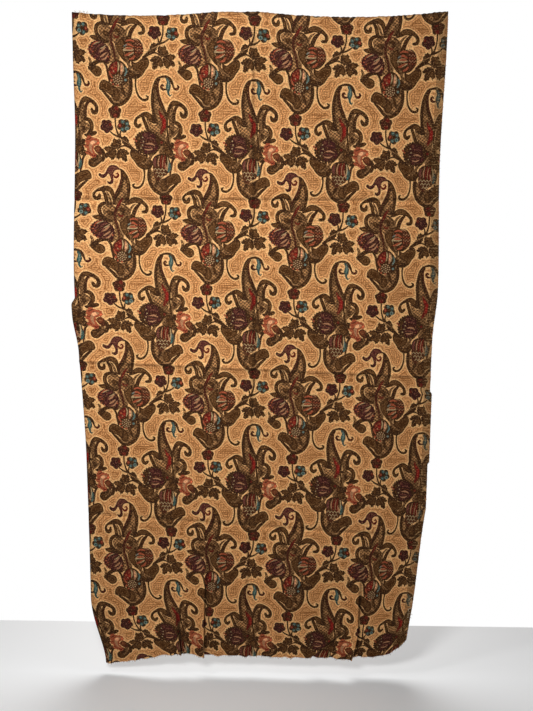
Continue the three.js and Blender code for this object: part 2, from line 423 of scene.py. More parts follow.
# %% the plum-tipped leaf and its hooks
def plum_leaf(pen):
    # left hook, then its inner band
    pen.stroke("olive", (9, 16, 15, 10, 9, 17, 21, 19, 12, 8), (75, 416), (72, 430), (60, 431),
            (54, 417), (63, 404), (82, 396), (101, 392), (117, 401), (125, 425), (127, 452))
    pen.stroke("olive", (10, 14, 14, 16), (87, 401), (96, 420), (100, 440), (108, 458))
    pen.stroke("stipple", (3, 8, 9, 9), (99, 402), (108, 420), (115, 440), (121, 458))
    # right hook, then its lower band
    pen.stroke("olive", (11, 14, 13, 14, 22, 23, 18, 10), (236, 477), (250, 475), (253, 459),
            (241, 444), (223, 435), (204, 433), (188, 442), (172, 451))
    pen.stroke("olive", (9, 15, 16, 18), (227, 446), (212, 463), (203, 482), (196, 505))
    pen.stroke("maroon", (2, 4, 3), (229, 449), (214, 468), (207, 489))
    # the leaf
    pen.blob("olive", (150, 312), (165, 317), (176, 330), (185, 347), (191, 370), (192, 392),
            (188, 418), (181, 442), (165, 448), (150, 444), (130, 456), (123, 442), (128, 416),
            (137, 398), (150, 377), (157, 352), (157, 325))
    pen.blob("stipple", (171, 350), (177, 368), (179, 388), (178, 410), (173, 432), (163, 441),
            (150, 446), (136, 454), (132, 446), (137, 430), (147, 412), (158, 395), (163, 375),
            (166, 360))
    pen.stroke("olive", (1.5, 3, 1.5), (166, 408), (170, 424), (169, 442))
    pen.stroke("maroon", (3, 6, 8, 6, 4, 3), (157, 322), (158, 348), (153, 372), (142, 394), (133, 412),
            (129, 432))
    # the plum curls of its tip
    pen.blob("plum", (155, 318), (146, 306), (132, 300), (116, 302), (106, 313), (99, 328), (91, 338),
            (82, 337), (76, 333), (71, 341), (78, 349), (89, 353), (100, 347), (108, 334), (114, 343),
            (118, 357), (113, 366), (104, 363), (105, 371), (115, 377), (126, 370), (128, 357),
            (127, 342), (129, 330), (134, 322), (144, 318))
    pen.stroke("red", (4, 8, 9, 8, 7, 5), (128, 338), (133, 347), (142, 347), (147, 338), (143, 331),
            (138, 335))
    # left round, with its pointed leaf
    pen.blob("stipple", (84, 470), (92, 460), (108, 455), (124, 456), (133, 468), (130, 492),
            (120, 512), (106, 512), (92, 500))
    pen.stroke("olive", (8, 13, 15, 15, 15, 13), (118, 452), (98, 449), (81, 456), (74, 470), (76, 487),
            (86, 501))
    pen.blob("olive", (100, 482), (109, 476), (122, 481), (131, 487), (122, 495), (108, 496))
    pen.blob("olive", (48, 500), (62, 496), (76, 493), (92, 498), (106, 508), (124, 512), (118, 522),
            (96, 522), (78, 516), (60, 512))
    # middle round
    pen.blob("stipple", (142, 452), (158, 448), (174, 457), (187, 470), (188, 484), (178, 494),
            (166, 503), (156, 516), (144, 520), (136, 508), (133, 488), (134, 468))
    pen.stroke("olive", (3, 4, 3), (158, 450), (176, 464), (182, 480))
    pen.stroke("olive", (6, 14, 15, 8), (145, 474), (154, 471), (163, 478), (160, 490))
    pen.stroke("red", (3, 7, 7, 3), (141, 487), (147, 495), (156, 497), (162, 491))
    pen.stroke("stipple", (4, 8, 9, 6, 4), (210, 448), (197, 458), (188, 472), (187, 488), (182, 506))


# %% the teal-tipped leaf, drawn in its own place
def teal_leaf(pen):
    # left hook and its inner band
    pen.stroke("olive", (10, 15, 14, 10, 12, 20, 23, 20, 16, 9), (237, 141), (227, 150), (217, 140),
            (220, 123), (237, 110), (257, 104), (275, 115), (287, 127), (301, 124), (306, 118))
    pen.stroke("olive", (12, 14, 15, 14), (246, 116), (255, 138), (263, 158), (270, 176))
    # right hook, its inner band and the right round
    pen.stroke("olive", (9, 16, 16, 14, 14, 16, 20, 13, 10, 10), (388, 92), (394, 104), (405, 104),
            (409, 88), (400, 73), (381, 62), (361, 61), (347, 76), (340, 95), (337, 116))
    pen.stroke("olive", (9, 12, 14, 14), (373, 70), (364, 90), (361, 110), (364, 130))
    pen.stroke("maroon", (2, 5, 4, 3), (388, 66), (375, 75), (368, 94), (367, 118))
    pen.blob("stipple", (357, 70), (361, 80), (356, 104), (357, 126), (366, 142), (378, 148),
            (378, 162), (368, 174), (356, 184), (344, 180), (341, 160), (343, 140), (342, 112),
            (347, 90))
    pen.stroke("olive", (9, 16, 16, 16, 14), (358, 131), (374, 131), (386, 145), (386, 164), (374, 182))
    pen.stroke("olive", (8, 15, 8), (352, 157), (357, 164), (355, 174))
    pen.blob("olive", (356, 187), (372, 180), (388, 174), (402, 172), (409, 178), (402, 186),
            (386, 192), (368, 196))
    # the leaf and its wide inlay
    pen.blob("olive", (303, -27), (314, -22), (308, -8), (306, 12), (308, 34), (316, 55), (328, 78),
            (338, 100), (340, 120), (338, 148), (322, 160), (300, 140), (286, 128), (281, 108),
            (278, 84), (276, 58), (278, 30), (283, 6), (291, -14))
    pen.blob("stipple", (293, 14), (298, 34), (303, 54), (313, 77), (325, 96), (333, 120), (333, 150),
            (330, 180), (326, 204), (306, 200), (296, 174), (281, 170), (270, 152), (261, 130),
            (258, 117), (268, 122), (277, 134), (288, 140), (301, 132), (294, 110), (289, 80),
            (289, 46))
    pen.stroke("maroon", (3, 6, 7, 6, 3), (308, -20), (304, 4), (307, 32), (316, 56), (328, 80))
    pen.stroke("red", (5, 12, 17, 18, 13, 7), (306, 88), (314, 105), (324, 124), (324, 144), (317, 160),
            (312, 172))
    pen.stroke("olive", (5, 7, 7, 8), (336, 116), (335, 142), (337, 166), (341, 196))
    pen.dot("olive", 343, 145, 6.0)
    # the tip: a dark crest, a teal tongue and two curls
    pen.stroke("olive", (8, 8, 10, 12, 9, 5), (301, -23), (318, -30), (335, -31), (350, -22), (359, -6),
            (362, 4))
    pen.blob("teal", (333, -25), (342, -27), (349, -15), (353, 0), (350, 13), (345, 22), (338, 20),
            (333, 10), (335, -2), (338, -12))
    pen.stroke("pale_teal", (2, 5, 3), (341, -20), (345, -4), (342, 12))
    pen.stroke("teal", (9, 8, 6, 3), (342, 20), (344, 30), (349, 36), (355, 31))
    pen.stroke("maroon", (5, 9, 10, 8, 5), (334, 13), (323, 14), (316, 6), (321, -2), (326, 2))
    pen.stroke("maroon", (4, 8, 10, 9, 6), (361, -2), (365, 9), (375, 12), (382, 4), (378, -2))


# %% the stem, the lobes and the deep cup, which both leaves share
def cup(pen):
    # lower trunk
    pen.blob("stipple", (112, 512), (128, 500), (138, 520), (150, 548), (162, 566), (160, 582),
            (146, 588), (128, 592), (114, 598), (100, 588), (112, 570), (127, 556), (128, 540),
            (120, 525))
    pen.stroke("buff", (3, 5, 4), (140, 520), (150, 546), (163, 570))
    pen.stroke("buff", (4, 6, 3), (124, 514), (119, 532), (112, 590))
    pen.blob("olive", (146, 520), (158, 506), (176, 494), (196, 489), (206, 496), (188, 506),
            (178, 524), (178, 546), (186, 566), (204, 580), (196, 592), (178, 582), (160, 560),
            (150, 540))
    # lobe at the lower left
    pen.stroke("stipple", (8, 11, 9), (44, 578), (50, 592), (46, 606))
    pen.stroke("olive", (8, 12, 14, 16, 16, 10), (118, 595), (104, 588), (86, 588), (70, 594),
            (56, 606), (44, 617))
    pen.blob("olive", (38, 612), (52, 603), (66, 604), (82, 607), (92, 616), (94, 630), (85, 641),
            (71, 643), (58, 634), (46, 623))
    pen.stroke("olive", (8, 9, 9, 6), (104, 592), (114, 608), (118, 632), (123, 660))
    pen.stroke("maroon", (3, 4, 3), (115, 606), (119, 628), (122, 652))
    # cup leaf on the right, with its hanging tendril
    pen.stroke("stipple", (6, 9, 9), (182, 556), (190, 574), (197, 592))
    pen.blob("olive", (206, 580), (222, 587), (240, 574), (256, 564), (267, 566), (273, 579),
            (270, 597), (258, 613), (246, 631), (228, 643), (206, 643), (191, 633), (187, 616),
            (194, 604), (206, 601))
    pen.stroke("stipple", (9, 13, 13, 7), (191, 587), (202, 604), (214, 617), (233, 622))
    pen.stroke("olive", (8, 6, 7, 8, 9, 10, 9, 5), (222, 640), (220, 662), (223, 685), (231, 704),
            (246, 716), (260, 715), (266, 706), (259, 701))
    # the deep cup below
    pen.blob("stipple", (130, 664), (150, 676), (170, 668), (184, 656), (197, 644), (200, 670),
            (195, 695), (182, 714), (164, 728), (146, 732), (128, 724), (140, 700), (138, 680))
    pen.stroke("olive", (10, 13, 13, 13, 14, 14, 13, 12, 8), (200, 636), (203, 655), (203, 678),
            (197, 702), (181, 724), (156, 737), (134, 731), (116, 712), (95, 692))
    pen.blob("olive", (81, 686), (83, 668), (92, 656), (104, 653), (122, 660), (136, 670), (150, 680),
            (160, 694), (161, 711), (152, 724), (140, 724), (126, 708), (108, 696), (92, 692))
    pen.stroke("buff", (2, 5, 3), (128, 712), (138, 727), (158, 730))
    pen.stroke("olive", (6, 12, 3), (168, 674), (172, 690), (181, 708))


# %% the flowers of the plum-tipped motif
def plum_flowers(pen):
    pen.stroke("maroon", (5, 11, 13, 12, 10, 10, 9, 8, 6), (161, 427), (150, 442), (142, 458),
            (134, 474), (130, 494), (132, 514), (138, 534), (143, 556), (146, 582))
    pen.stroke("red", (3, 8, 8, 3), (161, 428), (151, 441), (144, 454), (138, 467))
    # coral tulip, cut across, with its ribbed seed head
    pen.blob("olive", (214, 498), (229, 497), (243, 507), (251, 525), (252, 546), (243, 563),
            (230, 576), (216, 582), (200, 579), (187, 563), (178, 545), (177, 526), (184, 509),
            (198, 498))
    pen.blob("seed", (217, 503), (232, 502), (244, 514), (249, 530), (247, 548), (238, 562), (227, 571),
            (220, 558), (216, 540), (215, 520))
    for rib in range(5):
        x = 221 + 6 * rib
        pen.stroke("maroon", (1.2, 2.4, 1.2), (x, 509 + 2 * rib), (x + 2, 536), (x, 563 - 3 * rib))
        for k in range(4 - rib % 2):
            pen.dot("coral" if k % 2 else "peach", x + 3, 516 + 4 * (rib % 2) + 11 * k, 2.4)
    pen.stroke("coral", (4, 8, 5), (187, 509), (201, 504), (216, 508))
    pen.stroke("coral", (5, 9, 5), (181, 527), (198, 520), (214, 528))
    pen.stroke("pale_teal", (3, 5, 3), (179, 529), (184, 525), (191, 521))
    pen.stroke("cream", (5, 13, 14, 6), (177, 543), (188, 538), (204, 537), (214, 539))
    pen.stroke("coral", (5, 9, 5), (186, 537), (198, 535), (211, 536))
    pen.stroke("coral", (4, 10, 6), (182, 562), (197, 557), (214, 549))
    pen.stroke("cream", (2, 4, 3), (196, 561), (206, 556), (215, 549))
    pen.stroke("coral", (5, 9, 6), (200, 575), (212, 570), (219, 561))
    pen.stroke("peach", (2, 4, 2), (214, 502), (224, 500), (233, 505))
    # plum rose
    pen.jagged("plum", 1.6, (43, 540), (52, 526), (66, 517), (84, 513), (102, 519), (117, 531),
            (127, 547), (128, 566), (121, 589), (112, 591), (98, 584), (82, 588), (66, 582), (54, 574),
            (45, 562), (41, 550))
    pen.stroke("mauve", (3, 5, 3), (54, 560), (60, 546), (70, 537))
    pen.stroke("seed", (4, 8, 4), (62, 570), (66, 556), (74, 546))
    pen.stroke("coral", (4, 6, 3), (58, 531), (69, 523), (81, 518))
    pen.stroke("cream", (2, 3.5, 2), (64, 530), (75, 523), (88, 519))
    pen.stroke("mauve", (3, 6, 4), (78, 540), (86, 531), (100, 526))
    pen.stroke("peach", (4, 8, 4), (86, 555), (97, 549), (109, 536))
    pen.stroke("peach", (4, 7, 4), (89, 573), (100, 566), (112, 556))
    pen.stroke("mauve", (3, 5, 3), (80, 563), (84, 552), (90, 542))
    pen.stroke("mauve", (3, 5, 3), (84, 583), (97, 579), (110, 574))
    for x, y in ((45, 536), (41, 549), (46, 562), (56, 573), (68, 580), (52, 548), (60, 556), (56, 537),
                 (120, 570)):
        pen.dot("coral", x, y, 3.4)
    pen.stroke("peach", (3, 6, 3), (96, 583), (108, 578), (120, 560))
    pen.stroke("cream", (2, 4, 2), (90, 543), (100, 538), (110, 530))
    # striped bell with its berries
    pen.blob("olive", (122, 604), (134, 590), (150, 580), (166, 582), (180, 592), (190, 608),
            (195, 628), (193, 650), (184, 664), (160, 673), (136, 669), (124, 652), (119, 628))
    pen.blob("red", (126, 604), (138, 592), (152, 585), (158, 595), (156, 612), (148, 628), (136, 633),
            (126, 622))
    pen.dot("coral", 134, 609, 4.4)
    pen.dot("coral", 147, 600, 3.6)
    pen.dot("peach", 139, 621, 3.4)
    pen.stroke("cream", (3, 6, 3), (156, 588), (159, 603), (155, 621))
    pen.stroke("peach", (4, 13, 5), (168, 591), (171, 609), (167, 630))
    pen.stroke("cream", (2, 4, 2), (174, 596), (177, 610), (174, 622))
    pen.stroke("pale_teal", (4, 8, 4), (183, 605), (187, 619), (180, 635))
    pen.stroke("teal", (2, 4, 2), (182, 606), (185, 614), (184, 624))
    pen.stroke("coral", (4, 7, 4), (123, 622), (127, 634), (134, 644))
    pen.dot("pale_teal", 183, 650, 5.0)
    pen.dot("coral", 130, 654, 5.0)
    pen.dot("seed", 154, 651, 19.0)
    for ring, count, radius in ((0, 1, 0.0), (1, 6, 8.2), (2, 11, 15.6)):
        for k in range(count):
            turn = 2 * math.pi * k / count + 0.4 * ring
            pen.dot("cream", 154 + radius * math.cos(turn), 650 + radius * math.sin(turn), 2.7)
    pen.dot("coral", 137, 667, 4.0)
    pen.dot("coral", 153, 671, 4.4)
    pen.dot("mauve", 86, 345, 3.0)


# %% the flowers of the teal-tipped motif, drawn in their own place
def teal_flowers(pen):
    # plum thistle
    pen.jagged("olive", 2.6, (222, 178), (240, 166), (264, 162), (290, 170), (308, 186), (312, 210),
            (304, 232), (287, 248), (262, 256), (240, 252), (221, 238), (213, 215), (214, 194))
    pen.blob("plum", (232, 182), (245, 173), (262, 167), (286, 175), (303, 190), (307, 210), (300, 229),
            (285, 242), (262, 251), (243, 247), (227, 234), (218, 215), (220, 196))
    pen.stroke("olive", (10, 14, 13, 8), (238, 180), (227, 203), (231, 228), (246, 244))
    for x, y in ((243, 189), (246, 204), (242, 218), (236, 230)):
        pen.dot("cream", x, y, 2.8)
    pen.stroke("mauve", (3, 6, 3), (258, 193), (272, 189), (287, 194))
    pen.stroke("peach", (3, 7, 3), (256, 213), (272, 211), (288, 217))
    pen.stroke("mauve", (3, 5, 3), (250, 225), (266, 224), (282, 227))
    pen.stroke("peach", (3, 6, 3), (251, 234), (266, 236), (280, 231))
    pen.stroke("maroon", (3, 6, 3), (252, 202), (270, 202), (290, 206))
    pen.dot("coral", 211, 197, 5.0)
    pen.dot("coral", 219, 204, 4.0)
    pen.blob("olive", (292, 180), (310, 192), (322, 200), (322, 214), (304, 222), (296, 208))
    pen.dot("red", 314, 205, 5.5)
    # spiky calyx and coral carnation
    pen.jagged("olive", 3.0, (320, 196), (334, 206), (341, 194), (347, 207), (362, 200), (362, 220),
            (356, 238), (366, 252), (350, 252), (338, 262), (330, 246), (316, 244), (324, 230),
            (316, 216), (326, 212))
    pen.jagged("coral", 1.8, (361, 214), (366, 197), (378, 189), (392, 197), (405, 199), (415, 204),
            (419, 216), (413, 226), (400, 226), (394, 237), (396, 250), (405, 262), (402, 271),
            (390, 276), (380, 266), (368, 263), (361, 254), (369, 245), (362, 236), (353, 228),
            (365, 223))
    pen.blob("peach", (379, 216), (392, 207), (408, 211), (401, 219), (390, 226), (387, 243),
            (391, 258), (382, 252), (376, 236))
    pen.stroke("maroon", (2, 4, 2), (366, 206), (376, 203), (386, 196))
    pen.stroke("maroon", (1.5, 3, 1.5), (362, 226), (372, 228), (378, 222))
    pen.stroke("maroon", (1.5, 3, 1.5), (366, 250), (374, 252), (382, 262))
    pen.stroke("red", (3, 6, 3), (386, 262), (394, 268), (402, 264))
    pen.blob("seed", (395, 238), (406, 227), (419, 229), (429, 243), (431, 259), (420, 263), (404, 254))
    pen.stroke("olive", (10, 15, 13), (428, 242), (434, 262), (428, 284))
    pen.stroke("stipple", (4, 9, 8, 4), (412, 262), (418, 276), (406, 290), (392, 296))
    # striped tulip
    pen.blob("olive", (279, 272), (291, 256), (310, 249), (330, 249), (341, 262), (347, 282),
            (350, 304), (339, 322), (318, 320), (296, 306), (280, 298))
    pen.stroke("mauve", (5, 11, 6), (291, 264), (286, 282), (289, 298))
    pen.stroke("peach", (2, 5, 4), (306, 257), (300, 279), (301, 297))
    pen.stroke("red", (5, 9, 6), (316, 255), (309, 280), (310, 303))
    pen.stroke("peach", (2, 3, 2), (320, 262), (317, 282), (317, 300))
    pen.stroke("red", (5, 9, 7), (327, 255), (323, 280), (325, 308))
    pen.stroke("peach", (3, 6, 5), (326, 284), (330, 299), (334, 311))
    pen.stroke("cream", (3, 5, 3), (336, 261), (338, 281), (335, 303))
    pen.stroke("teal", (3, 10, 7), (347, 284), (344, 304), (338, 318))
    pen.stroke("pale_teal", (2, 4, 2), (341, 279), (341, 292), (338, 304))
    # scales in the cup
    pen.jagged("seed", 1.5, (281, 300), (298, 300), (318, 306), (336, 322), (326, 334), (312, 338),
            (304, 352), (294, 352), (284, 338), (280, 318))
    for row, count in enumerate((4, 3, 2)):
        for k in range(count):
            x, y = 283 + 13 * k + 6 * row, 309 + 13 * row
            pen.stroke("cream", (2, 3, 2), (x, y + 5), (x + 6, y - 3), (x + 12, y + 5))
            pen.stroke("maroon", (2, 3.4, 2), (x + 2, y + 8), (x + 6, y + 2), (x + 10, y + 8))


# %% the sprig of three small flowers
def petals(pen, x, y, reach, size, yarns, turn):
    """A ring of dots, one for each yarn given."""
    for k, yarn in enumerate(yarns):
        angle = 2 * math.pi * k / len(yarns) + turn
        pen.dot(yarn, x + reach * math.cos(angle), y + reach * math.sin(angle), size)


def sprig(pen, left, right):
    """Three small flowers and their leaves; left and right name the outer flowers' yarns."""
    pen.stroke("olive", (6, 6, 6, 8), (141, 120), (141, 142), (144, 162), (152, 186))
    pen.stroke("olive", (5, 7, 8), (120, 172), (136, 184), (158, 192))
    pen.stroke("olive", (5, 7, 8, 9, 10, 12), (161, 168), (158, 186), (168, 200), (182, 213),
            (198, 227), (216, 244))
    pen.stroke("olive", (5, 7, 7), (154, 231), (176, 224), (206, 238))
    pen.rosette("olive", 140, 100, 26.0, petals=5, turn=0.9)
    petals(pen, 140, 100, 14.0, 8.5, ("maroon", "red", "maroon", "maroon", "red"), 0.2)
    pen.dot("seed", 139, 100, 5.0)
    for x, y, yarn in ((107, 153, left), (173, 149, right)):
        pen.rosette("olive" if yarn == "teal" else "plum", x, y, 26.5, petals=5)
        if yarn == "teal":
            petals(pen, x, y, 15.0, 8.0, ("pale_teal", "teal", "red", "teal", "teal"), 0.7)
            petals(pen, x, y, 15.0, 4.0, ("teal", "pale_teal", "coral", "pale_teal", "pale_teal"), 0.7)
            pen.dot("olive", x, y, 6.0)
        else:
            petals(pen, x, y, 16.0, 6.5, ("red", "plum", "plum", "plum", "maroon"), -0.4)
            pen.dot("mauve", x, y, 4.0)
    for points in (
        ((167, 192), (176, 186), (188, 196), (192, 210), (198, 226), (184, 227), (172, 222), (164, 208)),
        ((134, 194), (144, 203), (155, 196), (162, 212), (158, 232), (147, 240), (132, 236), (119, 226),
         (128, 212)),
        ((92, 238), (108, 228), (127, 230), (142, 240), (142, 258), (135, 274), (122, 282), (115, 270),
         (100, 274), (97, 260), (107, 250)),
        ((142, 264), (146, 246), (158, 236), (173, 236), (187, 246), (192, 256), (180, 259), (184, 272),
         (180, 286), (165, 280), (158, 270), (150, 282)),
    ):
        pen.jagged("olive", 1.7, *points)
    pen.stroke("buff", (1.5, 3, 1.5), (206, 224), (170, 204), (150, 196))
    for vein in (
        ((114, 264), (126, 248), (149, 233)),
        ((175, 272), (163, 252), (151, 235)),
        ((141, 276), (143, 256), (150, 240)),
        ((122, 231), (134, 232), (148, 232)),
        ((178, 246), (166, 240), (152, 232)),
        ((148, 214), (150, 222), (151, 232)),
        ((180, 198), (184, 208), (188, 220)),
    ):
        pen.stroke("stipple", (1.2, 2.8, 1.4), *vein)


# %% the whole repeat
MIRROR = 467.0                  # the two motifs mirror each other about x = MIRROR / 2
HALF_DROP = 331.0
SPRIG_DROP = 323.0
shapes = []
for y in (80.0, 91.0):
    for mirror, shift in ((None, 0.0), (MIRROR, HALF_DROP)):
        Pen(shapes, mirror, shift).stroke("line", (1.4, 2.4, 1.4), (188, y + 3), (228, y), (266, y + 1))
sprig(Pen(shapes), "plum", "teal")
sprig(Pen(shapes, MIRROR, SPRIG_DROP), "teal", "plum")
cup(Pen(shapes))
plum_leaf(Pen(shapes))
plum_flowers(Pen(shapes))
cup(Pen(shapes, MIRROR, -HALF_DROP))
teal_leaf(Pen(shapes))
teal_flowers(Pen(shapes))
print("the repeat holds", len(shapes), "shapes")

# %% [markdown]
# ## Weaving one repeat
# The outlines become the edges of a triangle mesh, so that each colour ends exactly at its line,
# however close the viewer comes. Points between them keep the triangles small enough to drape. Each
# triangle then takes the yarn of the last shape that covers its middle. A second value, the distance to
# the nearest outline, lets the ground's fine lines echo the figure.

# %% triangles of one repeat
GRID = 12.0                     # mm between the points of the ground's own grid
GRID_CLEAR = 3.4                # grid points closer than this to an outline are left out
BORDER_CLEAR = 2.0              # and on the border of the repeat, closer than this


def repeats_of(shape):
    """The copies of a shape that reach into the repeat that is being woven."""
    low, high = shape.min(0), shape.max(0)
    for i in range(-2, 3):
        for j in range(-1, 2):
            shift = np.array([i * REPEAT[0], j * REPEAT[1]])
            if np.all(high + shift > -1) and np.all(low + shift < np.array(REPEAT) + 1):
                yield shape + shift


def inside(points, outline):
    """Which points lie inside an outline, by winding number, so that a curled stroke has no hole."""
    winding = np.zeros(len(points), int)
    x, y = points[:, 0], points[:, 1]
    for (ax, ay), (bx, by) in zip(outline, np.roll(outline, -1, axis=0)):
        left = (bx - ax) * (y - ay) - (x - ax) * (by - ay)
        winding += ((ay <= y) & (by > y) & (left > 0)).astype(int)
        winding -= ((ay > y) & (by <= y) & (left < 0)).astype(int)
    return winding != 0


def near_distance(points, samples):
    """Distance from each point to the nearest sample."""
    tree = KDTree(len(samples))
    for index, (x, y) in enumerate(samples):
        tree.insert((x, y, 0.0), index)
    tree.balance()
    return np.array([tree.find((x, y, 0.0))[2] for x, y in points])


def weave_repeat():
    """Points (x, y, echo distance), triangles and the yarn of each triangle, for one repeat."""
    placed = [(yarn, copy) for yarn, shape in shapes for copy in repeats_of(shape)]
    line = YARN_NUMBER["line"]
    samples = []
    for yarn, outline in placed:
        if yarn != line:
            following = np.roll(outline, -1, axis=0)
            samples += [outline, (outline + following) / 2]
    samples = np.vstack(samples)
    count = (np.array(REPEAT) / GRID).round().astype(int)
    xs, ys = (np.linspace(0, REPEAT[k], count[k] + 1) for k in (0, 1))
    grid = np.array([(x, y) for y in ys for x in xs])
    border = (grid[:, 0] == 0) | (grid[:, 0] == REPEAT[0]) | (grid[:, 1] == 0) | (grid[:, 1] == REPEAT[1])
    corners = [(0, 0), (REPEAT[0], 0), REPEAT, (0, REPEAT[1])]
    room = near_distance(grid, samples)
    grid = np.vstack([corners, grid[room > np.where(border, BORDER_CLEAR, GRID_CLEAR)]])
    points, edges = [Vector(p) for p in grid], [(0, 1), (1, 2), (2, 3), (3, 0)]
    for _, outline in placed:
        first = len(points)
        points += [Vector(p) for p in outline]
        edges += [(first + k, first + (k + 1) % len(outline)) for k in range(len(outline))]
    flat, _, faces, *_ = delaunay_2d_cdt(points, edges, [], 0, 1e-3)
    flat = np.array([tuple(p) for p in flat])
    faces = np.array([face for face in faces if len(face) == 3])
    middle = flat[faces].mean(1)
    keep = np.all((middle > 0) & (middle < np.array(REPEAT)), axis=1)
    faces, middle = faces[keep], middle[keep]
    yarns = np.zeros(len(faces), int)
    for yarn, outline in placed:
        low, high = outline.min(0), outline.max(0)
        near = np.where(np.all((middle > low) & (middle < high), axis=1))[0]
        yarns[near[inside(middle[near], outline)]] = yarn
    used, faces = np.unique(faces, return_inverse=True)
    flat, faces = flat[used], faces.reshape(-1, 3)
    figured = np.zeros(len(flat), bool)
    figured[faces[(yarns != 0) & (yarns != line)].ravel()] = True
    ground = np.zeros(len(flat), bool)
    ground[faces[(yarns == 0) | (yarns == line)].ravel()] = True
    echo = near_distance(flat, samples)
    echo[figured & ground] = 0.0
    echo[figured & ~ground] *= -1.0
    return np.column_stack([flat, echo]), faces, yarns


tile_points, tile_faces, tile_yarns = weave_repeat()
print("one repeat:", len(tile_faces), "triangles")

# %% [markdown]
# ## Laying the repeats over the length
# The repeat is copied over the whole length, a little out of square, because the weft of this cloth
# runs down towards the right. Straight cuts then trim it to the selvedges and divide it into pieces.
# More cuts follow the creases and the tucks, so that those folds get edges of their own to turn on.

# %% the flat cloth
FIRST_REPEAT = (357.0, 254.0)
SKEW = 0.0421                   # fall of the weft for each millimetre to the right


class Sheet:
    """Triangles of flat cloth: points as (across, drop, echo), faces, and the yarn of each face."""

    def __init__(self, points, faces, yarns):
        self.points, self.faces, self.yarns = points, faces, yarns

    def merged(self):
        """The same triangles, with the points that repeats share made one."""
        key = np.round(self.points[:, :2] * 50).astype(np.int64)
        _, first, same = np.unique(key, axis=0, return_index=True, return_inverse=True)
        faces = same.reshape(-1)[self.faces]
        whole = (faces[:, 0] != faces[:, 1]) & (faces[:, 1] != faces[:, 2]) & (faces[:, 2] != faces[:, 0])
        return Sheet(self.points[first], faces[whole], self.yarns[whole])

    def cut(self, place, normal):
        """Splits the triangles that a straight line crosses."""
        side = (self.points[:, :2] - place) @ normal
        side[np.abs(side) < 0.05] = 0.0
        sign = np.sign(side)[self.faces]
        crossed = (sign.min(1) < 0) & (sign.max(1) > 0)
        faces, yarns, sign = self.faces[crossed], self.yarns[crossed], sign[crossed]
        through = (sign == 0).any(1)
        apart = np.argmax(sign == -np.sign(sign.sum(1))[:, None], 1)
        lone = np.where(through, np.argmin(np.abs(sign), 1), apart)
        order = (lone[:, None] + np.arange(3)) % 3
        a, b, c = np.take_along_axis(faces, order, 1).T
        pairs = np.vstack([
            np.column_stack([b[through], c[through]]),
            np.column_stack([a[~through], b[~through]]),
            np.column_stack([a[~through], c[~through]]),
        ])
        edges, index = np.unique(np.sort(pairs, 1), axis=0, return_inverse=True)
        near, far = side[edges[:, 0]], side[edges[:, 1]]
        share = (near / (near - far))[:, None]
        fresh = self.points[edges[:, 0]] * (1 - share) + self.points[edges[:, 1]] * share
        index = index.reshape(-1) + len(self.points)
        split, whole = through.sum(), (~through).sum()
        on_bc, on_ab, on_ac = index[:split], index[split : split + whole], index[split + whole :]
        two = [(a[through], b[through], on_bc), (a[through], on_bc, c[through])]
        three = [
            (a[~through], on_ab, on_ac),
            (on_ab, b[~through], c[~through]),
            (on_ab, c[~through], on_ac),
        ]
        made = [np.column_stack(corners) for corners in two + three]
        made_yarns = [yarns[through]] * 2 + [yarns[~through]] * 3
        self.points = np.vstack([self.points, fresh])
        self.faces = np.vstack([self.faces[~crossed]] + made)
        self.yarns = np.concatenate([self.yarns[~crossed]] + made_yarns)

    def part(self, across, drop):
        """The triangles whose middles lie between two acrosses and two drops."""
        middle = self.points[self.faces].mean(1)
        keep = (middle[:, 0] > across[0]) & (middle[:, 0] < across[1])
        keep &= (middle[:, 1] > drop[0]) & (middle[:, 1] < drop[1])
        used, faces = np.unique(self.faces[keep], return_inverse=True)
        return Sheet(self.points[used], faces.reshape(-1, 3), self.yarns[keep])


def whole_cloth():
    """Every repeat that reaches into the cloth, laid with the skew of its weft."""
    points, faces, yarns = [], [], []
    for i in range(-2, 5):
        for j in range(-1, 5):
            copy = tile_points.copy()
            copy[:, 0] += i * REPEAT[0]
            copy[:, 1] += FIRST_REPEAT[1] + j * REPEAT[1] + SKEW * copy[:, 0]
            copy[:, 0] += FIRST_REPEAT[0]
            low, high = copy.min(0), copy.max(0)
            if high[0] < -SIDE_TURNING or low[0] > CLOTH_WIDTH or high[1] < -TOP_TURNING or low[1] > DROP:
                continue
            faces.append(tile_faces + sum(len(p) for p in points))
            points.append(copy)
            yarns.append(tile_yarns)
    return Sheet(np.vstack(points), np.vstack(faces), np.concatenate(yarns)).merged()


SELVEDGE_FROM = CLOTH_WIDTH - SELVEDGE
ABOVE_CREASE = 100.0            # a visible length starts this far above the crease that it bends at
CUTS = [0.0] + [TOP_Z - level - ABOVE_CREASE for level, slope in CREASES] + [DROP]
print("lengths are cut at", [round(cut) for cut in CUTS])

cloth = whole_cloth()
FOLD_STEPS = [-4.0, -3.2, -2.4, -1.6, -0.8]     # round the fold of a turning
CREASE_STEPS = (-16.0, -9.0, -4.0, 0.0, 4.0, 9.0, 16.0)
TUCK_STEPS = (-24.0, -14.0, -7.5, -3.5, 0.0, 3.5, 7.5, 14.0, 24.0)
MIDDLE_STEPS = (666.0, 676.0, 683.0, 690.0)     # along the fold down the middle
for across in [-SIDE_TURNING] + FOLD_STEPS + [0.0, SIDE_TURNING, SELVEDGE_FROM, CLOTH_WIDTH]:
    cloth.cut((across, 0.0), np.array([1.0, 0.0]))
for drop in [-TOP_TURNING] + FOLD_STEPS + CUTS:
    cloth.cut((0.0, drop), np.array([0.0, 1.0]))
for level, slope in CREASES:
    for off in CREASE_STEPS:
        cloth.cut((CLOTH_WIDTH / 2, TOP_Z - level + off), np.array([slope, 1.0]))
for place, _, reach, _, slant in TUCKS:
    for off in TUCK_STEPS:
        cloth.cut((place + off, DROP), np.array([1.0, slant]))
for across in MIDDLE_STEPS:
    cloth.cut((across, 0.0), np.array([1.0, 0.0]))
